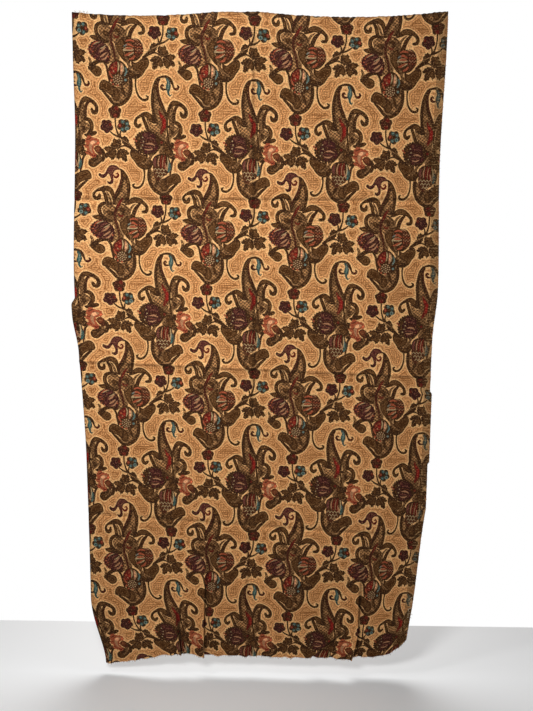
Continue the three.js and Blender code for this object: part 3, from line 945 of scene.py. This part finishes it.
cloth = cloth.part((-SIDE_TURNING, CLOTH_WIDTH), (-TOP_TURNING, DROP))
print("the flat cloth:", len(cloth.faces), "triangles")

# %% [markdown]
# ## From flat to hung
# Each part of the cloth becomes a closed mesh: a right side, a wrong side one thickness behind it, and a
# rim round the cut. Everything that the weave needs travels with the mesh as attributes: the yarn's
# colour on each face, and on each point its place in the flat cloth, its distance from the figure and the
# painted shade and highlight of the fold it lies in.

# %% a closed, hung mesh from flat triangles
KINDS = {"gold": 0.0, "line": 0.0, "stipple": 2.0, "seed": 3.0}
palette = np.array([linear(code) + (1.0,) for code in YARNS.values()])
kinds = np.array([KINDS.get(name, 1.0) for name in YARNS])


def normals(across, drop, hanging, step=0.4):
    """Unit vectors from the right side towards the wrong side."""
    along = hanging(across + step, drop) - hanging(across - step, drop)
    down = hanging(across, drop + step) - hanging(across, drop - step)
    back = np.cross(along, down)
    return back / np.linalg.norm(back, axis=1)[:, None]


def rim_edges(faces):
    """Directed edges that only one triangle uses."""
    edges = np.vstack([faces[:, [0, 1]], faces[:, [1, 2]], faces[:, [2, 0]]])
    _, index, count = np.unique(np.sort(edges, 1), axis=0, return_inverse=True, return_counts=True)
    return edges[count[index.reshape(-1)] == 1]


def set_attribute(mesh, name, kind, domain, values):
    """Stores one value for each face or point."""
    field = {"FLOAT": "value", "FLOAT_VECTOR": "vector", "FLOAT_COLOR": "color"}[kind]
    layer = mesh.attributes.new(name, kind, domain)
    layer.data.foreach_set(field, np.asarray(values, np.float32).ravel())


def hung_mesh(name, sheet, hanging=hang, thick=THICK):
    """A closed mesh of a flat sheet, laid in space by `hanging`."""
    across, drop, echo = sheet.points.T
    front = hanging(across, drop)
    back = front + normals(across, drop, hanging) * thick * MM
    count = len(front)
    right_side = sheet.faces[:, ::-1]
    wrong_side = sheet.faces + count
    i, j = rim_edges(right_side).T
    rim = np.vstack([np.column_stack([j, i, i + count]), np.column_stack([j, i + count, j + count])])
    faces = np.vstack([right_side, wrong_side, rim])
    mesh = bpy.data.meshes.new(name)
    mesh.vertices.add(2 * count)
    mesh.vertices.foreach_set("co", np.vstack([front, back]).astype(np.float32).ravel())
    mesh.loops.add(faces.size)
    mesh.loops.foreach_set("vertex_index", faces.astype(np.int32).ravel())
    mesh.polygons.add(len(faces))
    mesh.polygons.foreach_set("loop_start", np.arange(0, faces.size, 3, dtype=np.int32))
    mesh.update(calc_edges=True)
    yarn = np.concatenate([sheet.yarns, sheet.yarns, np.full(len(rim), YARN_NUMBER["olive"])])
    set_attribute(mesh, "yarn_colour", "FLOAT_COLOR", "FACE", palette[yarn])
    set_attribute(mesh, "yarn_kind", "FLOAT", "FACE", kinds[yarn])
    place = np.column_stack([across, drop, echo])
    set_attribute(mesh, "cloth_place", "FLOAT_VECTOR", "POINT", np.vstack([place, place]))
    set_attribute(mesh, "wrong_side", "FLOAT", "POINT", np.repeat([0.0, 1.0], count))
    # painted shade and highlight of the folds, the tucks and the top and left edges
    set_attribute(mesh, "fold_tone", "FLOAT", "POINT", np.tile(fold_tone(across, drop), 2))
    low, span = place[:, :2].min(0), np.ptp(place[:, :2], 0)
    flat = (place[:, :2] - low) / span * (0.98, 0.48) + (0.01, 0.01)
    unwrapped = np.vstack([flat, flat + (0.0, 0.5)])
    layer = mesh.uv_layers.new(name="OFBake")
    corners = unwrapped[faces.ravel()]
    corners[len(sheet.faces) * 6 :] = unwrapped[np.repeat(rim[:, 0], 3)]
    layer.uv.foreach_set("vector", corners.astype(np.float32).ravel())
    smooth_faces = np.ones(len(faces), bool)
    smooth_faces[2 * len(sheet.faces) :] = False
    mesh.polygons.foreach_set("use_smooth", smooth_faces)
    ends = np.empty(len(mesh.edges) * 2, np.int32)
    mesh.edges.foreach_get("vertices", ends)
    ends = ends.reshape(-1, 2)
    on_rim = np.zeros(2 * count, bool)
    on_rim[[*i, *(i + count)]] = True
    sharp = mesh.attributes.new("sharp_edge", "BOOLEAN", "EDGE")
    sharp.data.foreach_set("value", on_rim[ends].all(1))
    piece = bpy.data.objects.new(name, mesh)
    bpy.context.collection.objects.link(piece)
    return piece


# %% [markdown]
# ## A small language for materials
# Shader nodes are easier to read as sums. A wrapped socket answers to Python's operators by adding the
# node that works the sum out, and one method adds every other kind of node.

# %% shader sums
class Shade:
    """A socket of a material's tree that Python's operators act on."""

    def __init__(self, tree, socket):
        self.tree, self.socket = tree, socket

    def plug(self, target, value):
        """Links or sets one socket."""
        if isinstance(value, Shade):
            self.tree.links.new(value.socket, target)
        elif target.type == "RGBA" and len(value) == 3:
            target.default_value = (*value, 1.0)
        else:
            target.default_value = value

    def add(self, kind, settings=None, sockets=None, out=0):
        """Any other node: its type, its settings, what its sockets take, and which output is wanted."""
        node = self.tree.nodes.new(kind)
        for name, value in (settings or {}).items():
            if name == "stops":
                while len(node.color_ramp.elements) < len(value):
                    node.color_ramp.elements.new(0.5)
                for element, (position, colour) in zip(node.color_ramp.elements, value):
                    element.position, element.color = position, (*colour, 1.0)
            else:
                setattr(node, name, value)
        for key, value in (sockets or {}).items():
            self.plug(node.inputs[key], value)
        return Shade(self.tree, node.outputs[out])

    def math(self, operation, *values):
        settings = {"operation": operation}
        return self.add("ShaderNodeMath", settings, dict(enumerate(values)))

    def __add__(self, other):
        return self.math("ADD", self, other)

    def __radd__(self, other):
        return self.math("ADD", other, self)

    def __sub__(self, other):
        return self.math("SUBTRACT", self, other)

    def __rsub__(self, other):
        return self.math("SUBTRACT", other, self)

    def __mul__(self, other):
        return self.math("MULTIPLY", self, other)

    def __rmul__(self, other):
        return self.math("MULTIPLY", other, self)

    def __truediv__(self, other):
        return self.math("DIVIDE", self, other)

    def lines(self, pitch, low, high):
        """Lines at an even pitch, 0 between them and 1 along them."""
        return (self * (2 * math.pi / pitch)).wave().step(low, high)

    def step(self, low, high):
        """0 below low, 1 above high, and smooth between."""
        settings = {"interpolation_type": "SMOOTHSTEP"}
        return self.add("ShaderNodeMapRange", settings, {0: self, 1: low, 2: high, 3: 0.0, 4: 1.0})

    def wave(self):
        """A sine, raised to run from 0 to 1."""
        return self.math("SINE", self) * 0.5 + 0.5

    def mix(self, first, second, blend="MIX"):
        """Colour first where this is 0 and second where it is 1."""
        settings = {"data_type": "RGBA", "blend_type": blend, "clamp_factor": True}
        return self.add("ShaderNodeMix", settings, {0: self, 6: first, 7: second}, out=2)

    def noise(self, place, scale, detail=2.0, rough=0.5):
        sockets = {"Vector": place, "Scale": scale, "Detail": detail, "Roughness": rough}
        return self.add("ShaderNodeTexNoise", None, sockets)


def new_material(name, roughness, sheen):
    """A material, its shader node, and a first wrapped socket to build on."""
    material = bpy.data.materials.new(name)
    material.use_nodes = True
    tree = material.node_tree
    shader = tree.nodes["Principled BSDF"]
    shader.inputs["Roughness"].default_value = roughness
    shader.inputs["Specular IOR Level"].default_value = 0.08
    shader.inputs["Sheen Weight"].default_value = sheen
    shader.inputs["Sheen Roughness"].default_value = 0.6
    return material, shader, Shade(tree, None)


def flat_place(start):
    """The cloth's own place: millimetres across and down, and the echo distance."""
    place = start.add("ShaderNodeAttribute", {"attribute_name": "cloth_place"}, out=1)
    parts = place.add("ShaderNodeSeparateXYZ", None, {0: place})
    return [Shade(start.tree, parts.socket.node.outputs[k]) for k in range(3)]


def stretched(start, across, drop, wide, tall):
    """A vector for noise that is drawn out into slubs, wide and tall in millimetres."""
    return start.add("ShaderNodeCombineXYZ", None, {0: across / wide, 1: drop / tall})


# %% [markdown]
# ## The figured cloth
# The real cloth is a jacquard: a warp and several wefts, ribbed on the surface, with the unused wefts
# floating behind. The face's own colour gives each figure its yarn. The ground gets fine brown lines,
# in rings close round the figure and in patches of level and upright lines further off, solid figures
# get a darker outline, and the light inlay of the leaves is checked with the leaf's yarn. Slubs along
# the weft and a broad fading take away the evenness.

# %% the figured finish
WEFT_PITCH = 1.5                # mm
WARP_PITCH = 1.9
ECHO_PITCH = 7.6                # between the rings round the figure
ECHO_REACH = 26.0               # how far from the figure they go
LEVEL_PITCH = 8.4               # between the ground's crosswise lines
UPRIGHT_PITCH = 9.0
WAVER = 5.0                     # how far a line strays
CHECK_PITCH = 13.0              # of the inlay's checks
TICK_PITCH = 11.0               # of the selvedge's pale ticks
FLOAT_PITCH = 3.1               # between the floats on the wrong side
HALO_COLOUR = "F2C98A"          # the ground beside the figure
OUTLINE_COLOUR = "2B1C12"
CHECK_COLOUR = "3E2614"
RIB_COLOUR = "A67C50"
BAND_COLOUR = "4A3018"
TICK_COLOUR = "B08E62"
FLECK_COLOUR = "B08050"
FLOAT_COLOUR = "8C6A4A"


def ground_lines(start, across, drop, echo):
    """Brown lines in the ground, 0 to 1: broken rings round the figure, and a hatch further off."""
    waver = start.noise(stretched(start, across, drop, 14.0, 14.0), 1.0)
    patch = start.noise(stretched(start, across, drop, 34.0, 27.0), 1.0, 1.0)
    ring = (echo + waver * WAVER).lines(ECHO_PITCH, 0.42, 0.75)
    near = echo.step(5.0, 7.5) * (1.0 - echo.step(ECHO_REACH - 12.0, ECHO_REACH))
    level = (drop + waver * WAVER).lines(LEVEL_PITCH, 0.5, 0.8) * patch.step(0.42, 0.5)
    upright = (across + waver * WAVER).lines(UPRIGHT_PITCH, 0.5, 0.8) * (1.0 - patch.step(0.44, 0.52))
    worm = start.noise(stretched(start, across, drop, 10.0, 7.0), 1.0, 1.0) - 0.5
    mottle = 1.0 - worm.math("ABSOLUTE", worm).step(0.01, 0.07)
    far = echo.step(ECHO_REACH - 18.0, ECHO_REACH - 4.0)
    dense = start.noise(stretched(start, across, drop, 90.0, 12.0), 1.0, 1.0).step(0.5, 0.62)
    return ring * near * 0.62 + (level + upright) * far * 0.62 + mottle * 0.26 + dense * far * 0.34


def weave_height(across, drop):
    """The over and under of the yarns."""
    weft = (drop * (2 * math.pi / WEFT_PITCH)).wave()
    warp = (across * (2 * math.pi / WARP_PITCH) + drop * (math.pi / WEFT_PITCH)).wave()
    return weft * 0.6 + warp * 0.4


def darkened(start, colour, tone):
    """A colour multiplied by a grey."""
    settings = {"data_type": "RGBA", "blend_type": "MULTIPLY"}
    return start.add("ShaderNodeMix", settings, {0: 1.0, 6: colour, 7: tone}, 2)


def figured_finish(name, dim=1.0, veil=0.0):
    """The cloth's finish; `veil` lays the selvedge's own brown and its pale ticks over the figure."""
    material, shader, start = new_material(name, 0.9, 0.0)
    across, drop, echo = flat_place(start)
    yarn = start.add("ShaderNodeAttribute", {"attribute_name": "yarn_colour"})
    kind = start.add("ShaderNodeAttribute", {"attribute_name": "yarn_kind"}, out=2)
    wrong = start.add("ShaderNodeAttribute", {"attribute_name": "wrong_side"}, out=2)
    is_ground = 1.0 - kind.step(0.4, 0.6)
    is_inlay = kind.step(1.4, 1.6) * (1.0 - kind.step(2.4, 2.6))
    halo = is_ground * (1.0 - echo.step(2.0, 6.0))
    colour = (halo * 0.4).mix(yarn, linear(HALO_COLOUR))
    lines = is_ground * ground_lines(start, across, drop, echo)
    colour = lines.mix(colour, linear(YARNS["line"]))
    depth = 0.0 - echo
    outline = (1.0 - is_ground) * (1.0 - depth.step(0.6, 3.0))
    colour = (outline * 0.6).mix(colour, linear(OUTLINE_COLOUR))
    one = (across + drop * 0.9) * (2 * math.pi / CHECK_PITCH)
    two = (drop * 1.1 - across * 0.8) * (2 * math.pi / CHECK_PITCH)
    check = (one.wave() * two.wave()).step(-0.05, 0.2)
    colour = (check * is_inlay * 0.86).mix(colour, linear(CHECK_COLOUR))
    rib = (1.0 - is_ground) * (1.0 - is_inlay) * depth.step(3.0, 5.5) * (1.0 - depth.step(7.5, 11.0))
    colour = (rib * 0.12).mix(colour, linear(RIB_COLOUR))
    if veil:
        band = {0: veil, 6: colour, 7: linear(BAND_COLOUR)}
        colour = start.add("ShaderNodeMix", {"data_type": "RGBA"}, band, 2)
        tick = drop.lines(TICK_PITCH, 0.72, 0.95)
        broken = start.noise(stretched(start, across, drop, 9.0, 14.0), 1.0).step(0.46, 0.6)
        colour = (tick * broken * 0.6).mix(colour, linear(TICK_COLOUR))
    slub = start.noise(stretched(start, across, drop, 42.0, 2.2), 1.0, 3.0)
    fade = start.noise(stretched(start, across, drop, 310.0, 420.0), 1.0, 3.0)
    fleck = start.noise(stretched(start, across, drop, 5.2, 3.6), 1.0, 1.0)
    shows = (1.0 - is_ground) * fleck.step(0.56, 0.7) * 0.3
    colour = shows.mix(colour, linear(FLECK_COLOUR))
    tone = (slub - 0.5) * 0.7 + (fade - 0.5) * 0.3 + (fleck - 0.5) * 2.0 + 0.98
    # the fold attribute paints shade and highlight into the colour beside the folds, the tucks and the
    # top and left edges
    folds = start.add("ShaderNodeAttribute", {"attribute_name": "fold_tone"}, out=2)
    # the weave's low places are also painted darker here, as painted shade
    tone = tone * (0.86 + weave_height(across, drop) * 0.22) * dim * folds
    grey = start.add("ShaderNodeCombineColor", None, {0: tone, 1: tone, 2: tone})
    right = darkened(start, colour, grey)
    floats = across.lines(FLOAT_PITCH, 0.3, 0.7)
    reverse = (floats * 0.55 + 0.2).mix(colour, linear(FLOAT_COLOUR))
    reverse = darkened(start, reverse, grey)
    shader_in = wrong.step(0.4, 0.6).mix(right, reverse)
    start.plug(shader.inputs["Base Color"], shader_in)
    height = weave_height(across, drop) * 0.5 + slub * 0.6 - is_ground * 0.25
    bump = start.add("ShaderNodeBump", None, {"Height": height, "Strength": 0.35, "Distance": 0.0006})
    start.plug(shader.inputs["Normal"], bump)
    return material


figured = figured_finish("figured_cloth")
print("figured finish:", len(figured.node_tree.nodes), "nodes")

# %% the four lengths of figured cloth
HINGES = ["panel_swing", "crease_1_fold", "crease_2_fold", "crease_3_fold"]


def follow(piece, number):
    """Bakes the piece's place into its mesh; the hinge's level and axis are worked out but not used."""
    joint = joints[HINGES[number]]
    level = joint["pos_m"][2] / MM
    axis = Vector(joint["axis"])
    if axis.x < 0:
        axis = -axis
    middle = Vector((0, 0, level * MM))
    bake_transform(piece)


def finish_piece(piece, material, slot, *nodes):
    """Gives a piece its material and hides the nodes that it stands in for; slot is not used."""
    piece.data.materials.clear()
    piece.data.materials.append(material)
    if nodes:
        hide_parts(*nodes)


for number in range(4):
    top, bottom = CUTS[number], CUTS[number + 1]
    length = cloth.part((SIDE_TURNING, SELVEDGE_FROM), (top, bottom))
    piece = hung_mesh(f"figured_cloth_{number + 1}", length)
    finish_piece(piece, figured, "figured_cloth", f"cloth_leaf_{number + 1}")
    follow(piece, number)
    (bottom - top) * MM
    print(piece.name, len(piece.data.polygons), "triangles")

# %% [markdown]
# ## The turnings and the selvedge
# The left edge and the top edge are folded to the back, by 14 mm and by 40 mm. A turning is the same
# cloth carried on past the edge, so it is cut from the same flat cloth: what lies beyond the edge goes
# round a small fold and lies on the wrong side. The right edge keeps the loom's own selvedge, a plain
# brown band with pale ticks where each weft turns back.

# %% folding what lies beyond an edge
FOLD_LENGTH = 4.0               # mm of cloth that goes round the fold
FOLD_RADIUS = FOLD_LENGTH / math.pi


def turned(beyond, front, inward, back):
    """Lays cloth that is `beyond` past an edge behind the front, which starts at `front`."""
    angle = np.clip(beyond / FOLD_LENGTH, 0.0, 1.0) * math.pi
    out = FOLD_RADIUS * np.sin(angle) * (beyond > 0)
    behind = FOLD_RADIUS * (1.0 - np.cos(angle)) * (beyond > 0)
    return front - inward * out[:, None] * MM + back * behind[:, None] * MM


def hang_left(across, drop):
    """The hung cloth, with what lies past the left edge folded behind it."""
    beyond = np.maximum(-across, 0.0)
    flat = np.where(across < 0, np.maximum(beyond - FOLD_LENGTH, 0.0), across)
    return turned(beyond, hang(flat, drop), np.array([1.0, 0, 0]), np.array([0, 1.0, 0]))


def hang_top(across, drop):
    """The hung cloth, with what lies past the top edge folded behind it."""
    beyond = np.maximum(-drop, 0.0)
    flat = np.where(drop < 0, np.maximum(beyond - FOLD_LENGTH, 0.0), drop)
    return turned(beyond, hang(across, flat), np.array([0, 0, -1.0]), np.array([0, 1.0, 0]))


# turned_edge is the cloth's own finish painted ten per cent darker, as painted shade on the turnings
turned_edge = figured_finish("turned_edge", dim=0.9)
selvedge_weave = figured_finish("selvedge_weave", dim=0.92, veil=0.42)
for number in range(4):
    top, bottom = CUTS[number], CUTS[number + 1]
    strip = cloth.part((-SIDE_TURNING, SIDE_TURNING), (top, bottom))
    side = hung_mesh(f"turned_side_{number + 1}", strip, hang_left)
    finish_piece(side, turned_edge, "turned_edge", f"side_turning_{number + 1}")
    follow(side, number)
    (bottom - top) * MM
    strip = cloth.part((SELVEDGE_FROM, CLOTH_WIDTH), (top, bottom))
    band = hung_mesh(f"selvedge_band_{number + 1}", strip)
    finish_piece(band, selvedge_weave, "selvedge_weave", f"selvedge_{number + 1}")
    follow(band, number)
    (bottom - top) * MM
heading = hung_mesh("turned_top", cloth.part((0.0, CLOTH_WIDTH), (-TOP_TURNING, 0.0)), hang_top)
finish_piece(heading, turned_edge, "turned_edge", "top_turning")
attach(heading, "heading")
print("turnings and selvedges made")

# %% [markdown]
# ## Yarns along an edge
# Stitches, the frayed hem, the weft loops of the selvedge and a few loose wisps are one thing: a short
# bent yarn repeated along a line. One Geometry Nodes tree makes them all. It takes a line of points,
# spaces them evenly and puts on each a yarn with its own turn and length.

# %% the yarn tree
SOCKETS = {
    "Spacing": "NodeSocketFloat",
    "Yarn end": "NodeSocketVector",
    "Yarn sag": "NodeSocketVector",
    "Thickness": "NodeSocketFloat",
    "Least turn": "NodeSocketVector",
    "Most turn": "NodeSocketVector",
    "Least scale": "NodeSocketFloat",
    "Most scale": "NodeSocketFloat",
    "Seed": "NodeSocketInt",
    "Finish": "NodeSocketMaterial",
}


def yarn_tree():
    """The tree, and the identifier of each of its named inputs."""
    tree = bpy.data.node_groups.new("yarns_along_an_edge", "GeometryNodeTree")
    tree.interface.new_socket("Line", in_out="INPUT", socket_type="NodeSocketGeometry")
    names = {}
    for name, kind in SOCKETS.items():
        names[name] = tree.interface.new_socket(name, in_out="INPUT", socket_type=kind).identifier
    tree.interface.new_socket("Yarns", in_out="OUTPUT", socket_type="NodeSocketGeometry")
    start = Shade(tree, None)
    given = tree.nodes.new("NodeGroupInput")
    value = {name: Shade(tree, given.outputs[name]) for name in ["Line", *SOCKETS]}
    line = start.add("GeometryNodeMeshToCurve", None, {"Mesh": value["Line"]})
    spaced = {"Curve": line, "Length": value["Spacing"]}
    even = start.add("GeometryNodeResampleCurve", {"mode": "LENGTH"}, spaced)
    half = start.add("ShaderNodeVectorMath", {"operation": "SCALE"}, {0: value["Yarn end"], "Scale": 0.5})
    bent = start.add("ShaderNodeVectorMath", {"operation": "ADD"}, {0: half, 1: value["Yarn sag"]})
    ends = {"Resolution": 4, "Start": (0.0, 0.0, 0.0), "Middle": bent, "End": value["Yarn end"]}
    yarn = start.add("GeometryNodeCurveQuadraticBezier", None, ends)
    section = {"Resolution": 4, "Radius": value["Thickness"]}
    circle = start.add("GeometryNodeCurvePrimitiveCircle", None, section)
    swept = {"Curve": yarn, "Profile Curve": circle, "Fill Caps": True}
    tube = start.add("GeometryNodeCurveToMesh", None, swept)
    turns = {0: value["Least turn"], 1: value["Most turn"], "Seed": value["Seed"]}
    turn = start.add("FunctionNodeRandomValue", {"data_type": "FLOAT_VECTOR"}, turns)
    sizes = {2: value["Least scale"], 3: value["Most scale"], "Seed": value["Seed"]}
    size = start.add("FunctionNodeRandomValue", {"data_type": "FLOAT"}, sizes, out=1)
    placed = {"Points": even, "Instance": tube, "Rotation": turn, "Scale": size}
    yarns = start.add("GeometryNodeInstanceOnPoints", None, placed)
    real = start.add("GeometryNodeRealizeInstances", None, {"Geometry": yarns})
    painted = start.add("GeometryNodeSetMaterial", None, {"Geometry": real, "Material": value["Finish"]})
    done = tree.nodes.new("NodeGroupOutput")
    tree.links.new(painted.socket, done.inputs[0])
    return tree, names


tree, socket_names = yarn_tree()


def yarns_along(name, points, spacing, end, sag, thickness, spread, scales, seed, finish):
    """A plain mesh of yarns along a line of points. Lengths are in millimetres."""
    mesh = bpy.data.meshes.new(name)
    mesh.from_pydata([tuple(p) for p in points], [(k, k + 1) for k in range(len(points) - 1)], [])
    source = bpy.data.objects.new(name + "_line", mesh)
    bpy.context.collection.objects.link(source)
    modifier = source.modifiers.new("yarns", "NODES")
    modifier.node_group = tree
    least, most = spread
    inputs = {
        "Spacing": spacing * MM,
        "Yarn end": [v * MM for v in end],
        "Yarn sag": [v * MM for v in sag],
        "Thickness": thickness * MM / 2,
        "Least turn": least,
        "Most turn": most,
        "Least scale": scales[0],
        "Most scale": scales[1],
        "Seed": seed,
        "Finish": finish,
    }
    for key, value in inputs.items():
        modifier[socket_names[key]] = value
    bpy.context.view_layer.update()
    made = source.evaluated_get(bpy.context.evaluated_depsgraph_get())
    plain = bpy.data.meshes.new_from_object(made)
    bpy.data.objects.remove(source)
    piece = bpy.data.objects.new(name, plain)
    bpy.context.collection.objects.link(piece)
    return piece


def yarn_finish(name, dark, light):
    """Loose yarn: its colour wanders between two, and a fine noise bump roughens it."""
    material, shader, start = new_material(name, 0.9, 0.15)
    place = start.add("ShaderNodeTexCoord", out=3)
    colour = start.noise(place, 160.0, 2.0).step(0.35, 0.65).mix(linear(dark), linear(light))
    start.plug(shader.inputs["Base Color"], colour)
    ply = start.noise(place, 900.0, 1.0)
    bump = start.add("ShaderNodeBump", None, {"Height": ply, "Strength": 0.5, "Distance": 0.0004})
    start.plug(shader.inputs["Normal"], bump)
    return material


frayed = yarn_finish("frayed_yarn", "4A3622", "C79A63")
sewing = yarn_finish("sewing_thread", "3B2A1C", "5A4430")
wispy = yarn_finish("pale_wisp", "9C8468", "D8C6A4")

# %% the hem, the selvedge, the stitches and the wisps
ACROSS_POINTS = 280             # of a line across the cloth
DOWN_POINTS = 160               # of a line down one length
MID_CLOTH = np.array([0, 0.0006, 0])    # from the face to the middle of the cloth, in metres
BEHIND = np.array([0, 0.0040, 0])       # from the face to the back of a turning

hem_across = np.linspace(2.0, CLOTH_WIDTH - 2.0, ACROSS_POINTS)
hem_line = hang(hem_across, np.full(ACROSS_POINTS, DROP - 1.5)) + MID_CLOTH
hem = yarns_along("hem_yarns", hem_line, 2.3, (0, 0, -7.5), (1.2, 0.8, 0), 0.9,
                  ((-0.5, -0.6, 0.0), (0.5, 0.6, 6.28)), (0.25, 1.25), 11, frayed)
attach(hem, "leaf_4")
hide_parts("frayed_hem")
print("hem yarns:", len(hem.data.polygons), "faces")

for number in range(4):
    drops = np.linspace(CUTS[number] + 3.0, CUTS[number + 1] - 3.0, DOWN_POINTS)
    right = hang(np.full(DOWN_POINTS, CLOTH_WIDTH - 1.5), drops) + MID_CLOTH
    loops = yarns_along(f"selvedge_loops_{number + 1}", right, 4.6, (1.5, 0, -4.0), (3.2, 0, 0), 0.8,
                        ((-0.6, -0.3, -0.4), (0.6, 0.3, 0.4)), (0.5, 1.2), 20 + number, frayed)
    follow(loops, number)
    left = hang(np.full(DOWN_POINTS, SIDE_TURNING - 4.0), drops) + BEHIND
    seam = yarns_along(f"side_stitches_{number + 1}", left, 13.0, (2.6, 0, -4.0), (0, 1.1, 0), 0.7,
                       ((0.0, 0.0, -0.2), (0.0, 0.0, 0.2)), (0.8, 1.1), 30 + number, sewing)
    follow(seam, number)

top_across = np.linspace(6.0, CLOTH_WIDTH - 6.0, ACROSS_POINTS)
top_line = hang(top_across, np.full(ACROSS_POINTS, TOP_TURNING - 7.0)) + BEHIND
herringbone = yarns_along("top_stitches", top_line, 11.0, (5.0, 0, -5.5), (0, 1.2, 0), 0.8,
                          ((0.0, -0.2, 0.0), (0.0, 0.2, 0.0)), (0.85, 1.1), 41, sewing)
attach(herringbone, "heading")

corner_line = hang(np.linspace(8.0, 60.0, 12), np.full(12, 0.0))
tuft = yarns_along("corner_fray", corner_line, 3.0, (0, 0, 9.0), (2.5, 0, 0), 0.9,
                   ((-0.4, -0.9, 0.0), (0.4, 0.9, 6.28)), (0.4, 1.3), 43, frayed)
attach(tuft, "heading")

wisp_drops = np.array([2292.0, 2304.0, 2330.0, 2348.0, 2368.0, 2396.0])
wisp_line = hang(np.full(6, CLOTH_WIDTH - 14.0), wisp_drops) - np.array([0, 0.0012, 0])
wisps = yarns_along("selvedge_wisps", wisp_line, 7.0, (16.0, -1.0, 5.0), (-4.0, -1.0, 9.0), 1.5,
                    ((-0.2, -0.9, -0.3), (0.2, 0.9, 0.3)), (0.5, 1.2), 47, wispy)
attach(wisps, "leaf_4")
print("stitches, loops and wisps made")

# %% [markdown]
# ## Floor, light and camera
# The panel hangs above a plain pale floor. The key light stands in front of it, a little to the left. A
# small light high on the left rakes across the face, so that the creases and the tucks show, and a
# broad one behind the panel lights the floor. A dim even light fills the rest.

# %% the floor
FLOOR_Z = (HEM_Z - 80.0) * MM
bpy.ops.mesh.primitive_plane_add(size=6.0, location=(0.0, -2.6, FLOOR_Z))
floor = bpy.context.object
floor.name = "floor"
pale, pale_shader, _ = new_material("pale_floor", 0.9, 0.0)
pale_shader.inputs["Base Color"].default_value = (0.9, 0.9, 0.9, 1.0)
floor.data.materials.append(pale)

# %% the light
world = bpy.data.worlds.new("studio")
bpy.context.scene.world = world
world.use_nodes = True
studio = Shade(world.node_tree, None)
seen = studio.add("ShaderNodeLightPath")
strength = seen * 0.9 + 0.1
background = world.node_tree.nodes["Background"]
background.inputs["Color"].default_value = (1.0, 1.0, 1.0, 1.0)
studio.plug(background.inputs["Strength"], strength)


def soft_light(name, place, aim, size, power):
    """A round soft light, turned to face a point."""
    lamp = bpy.data.lights.new(name, "AREA")
    lamp.shape, lamp.size, lamp.energy = "DISK", size, power
    light = bpy.data.objects.new(name, lamp)
    light.location = place
    light.rotation_euler = (Vector(aim) - Vector(place)).to_track_quat("-Z", "Y").to_euler()
    bpy.context.collection.objects.link(light)


soft_light("key_light", (-0.5, -1.7, -0.72), (-0.3, 0.0, -0.95), 0.7, 34.0)
soft_light("raking_light", (-1.7, -1.1, 1.5), (0.0, 0.0, -1.2), 0.4, 15.0)
soft_light("floor_light", (0.0, 0.7, 0.4), (0.0, 0.3, -2.6), 2.0, 62.0)

# %% the camera
LENS = 35.44
CAMERA_PLACE = (0.084, -2.740, -0.869)
PITCH, YAW, ROLL = math.radians(-8.17), math.radians(-1.09), math.radians(0.22)
forward = Vector((math.sin(YAW) * math.cos(PITCH), math.cos(YAW) * math.cos(PITCH), math.sin(PITCH)))
level_right = Vector((math.cos(YAW), -math.sin(YAW), 0.0))
level_up = level_right.cross(forward)
right = level_right * math.cos(ROLL) + level_up * math.sin(ROLL)
up = level_up * math.cos(ROLL) - level_right * math.sin(ROLL)
lens = bpy.data.cameras.new("camera")
lens.sensor_fit = "AUTO"
lens.sensor_width = 36.0
lens.lens = LENS
camera = bpy.data.objects.new("camera", lens)
turn = (right, up, -forward)
camera.matrix_world = Matrix.Translation(CAMERA_PLACE) @ Matrix(turn).transposed().to_4x4()
bpy.context.collection.objects.link(camera)
bpy.context.scene.camera = camera
bpy.context.scene.view_settings.view_transform = "Standard"
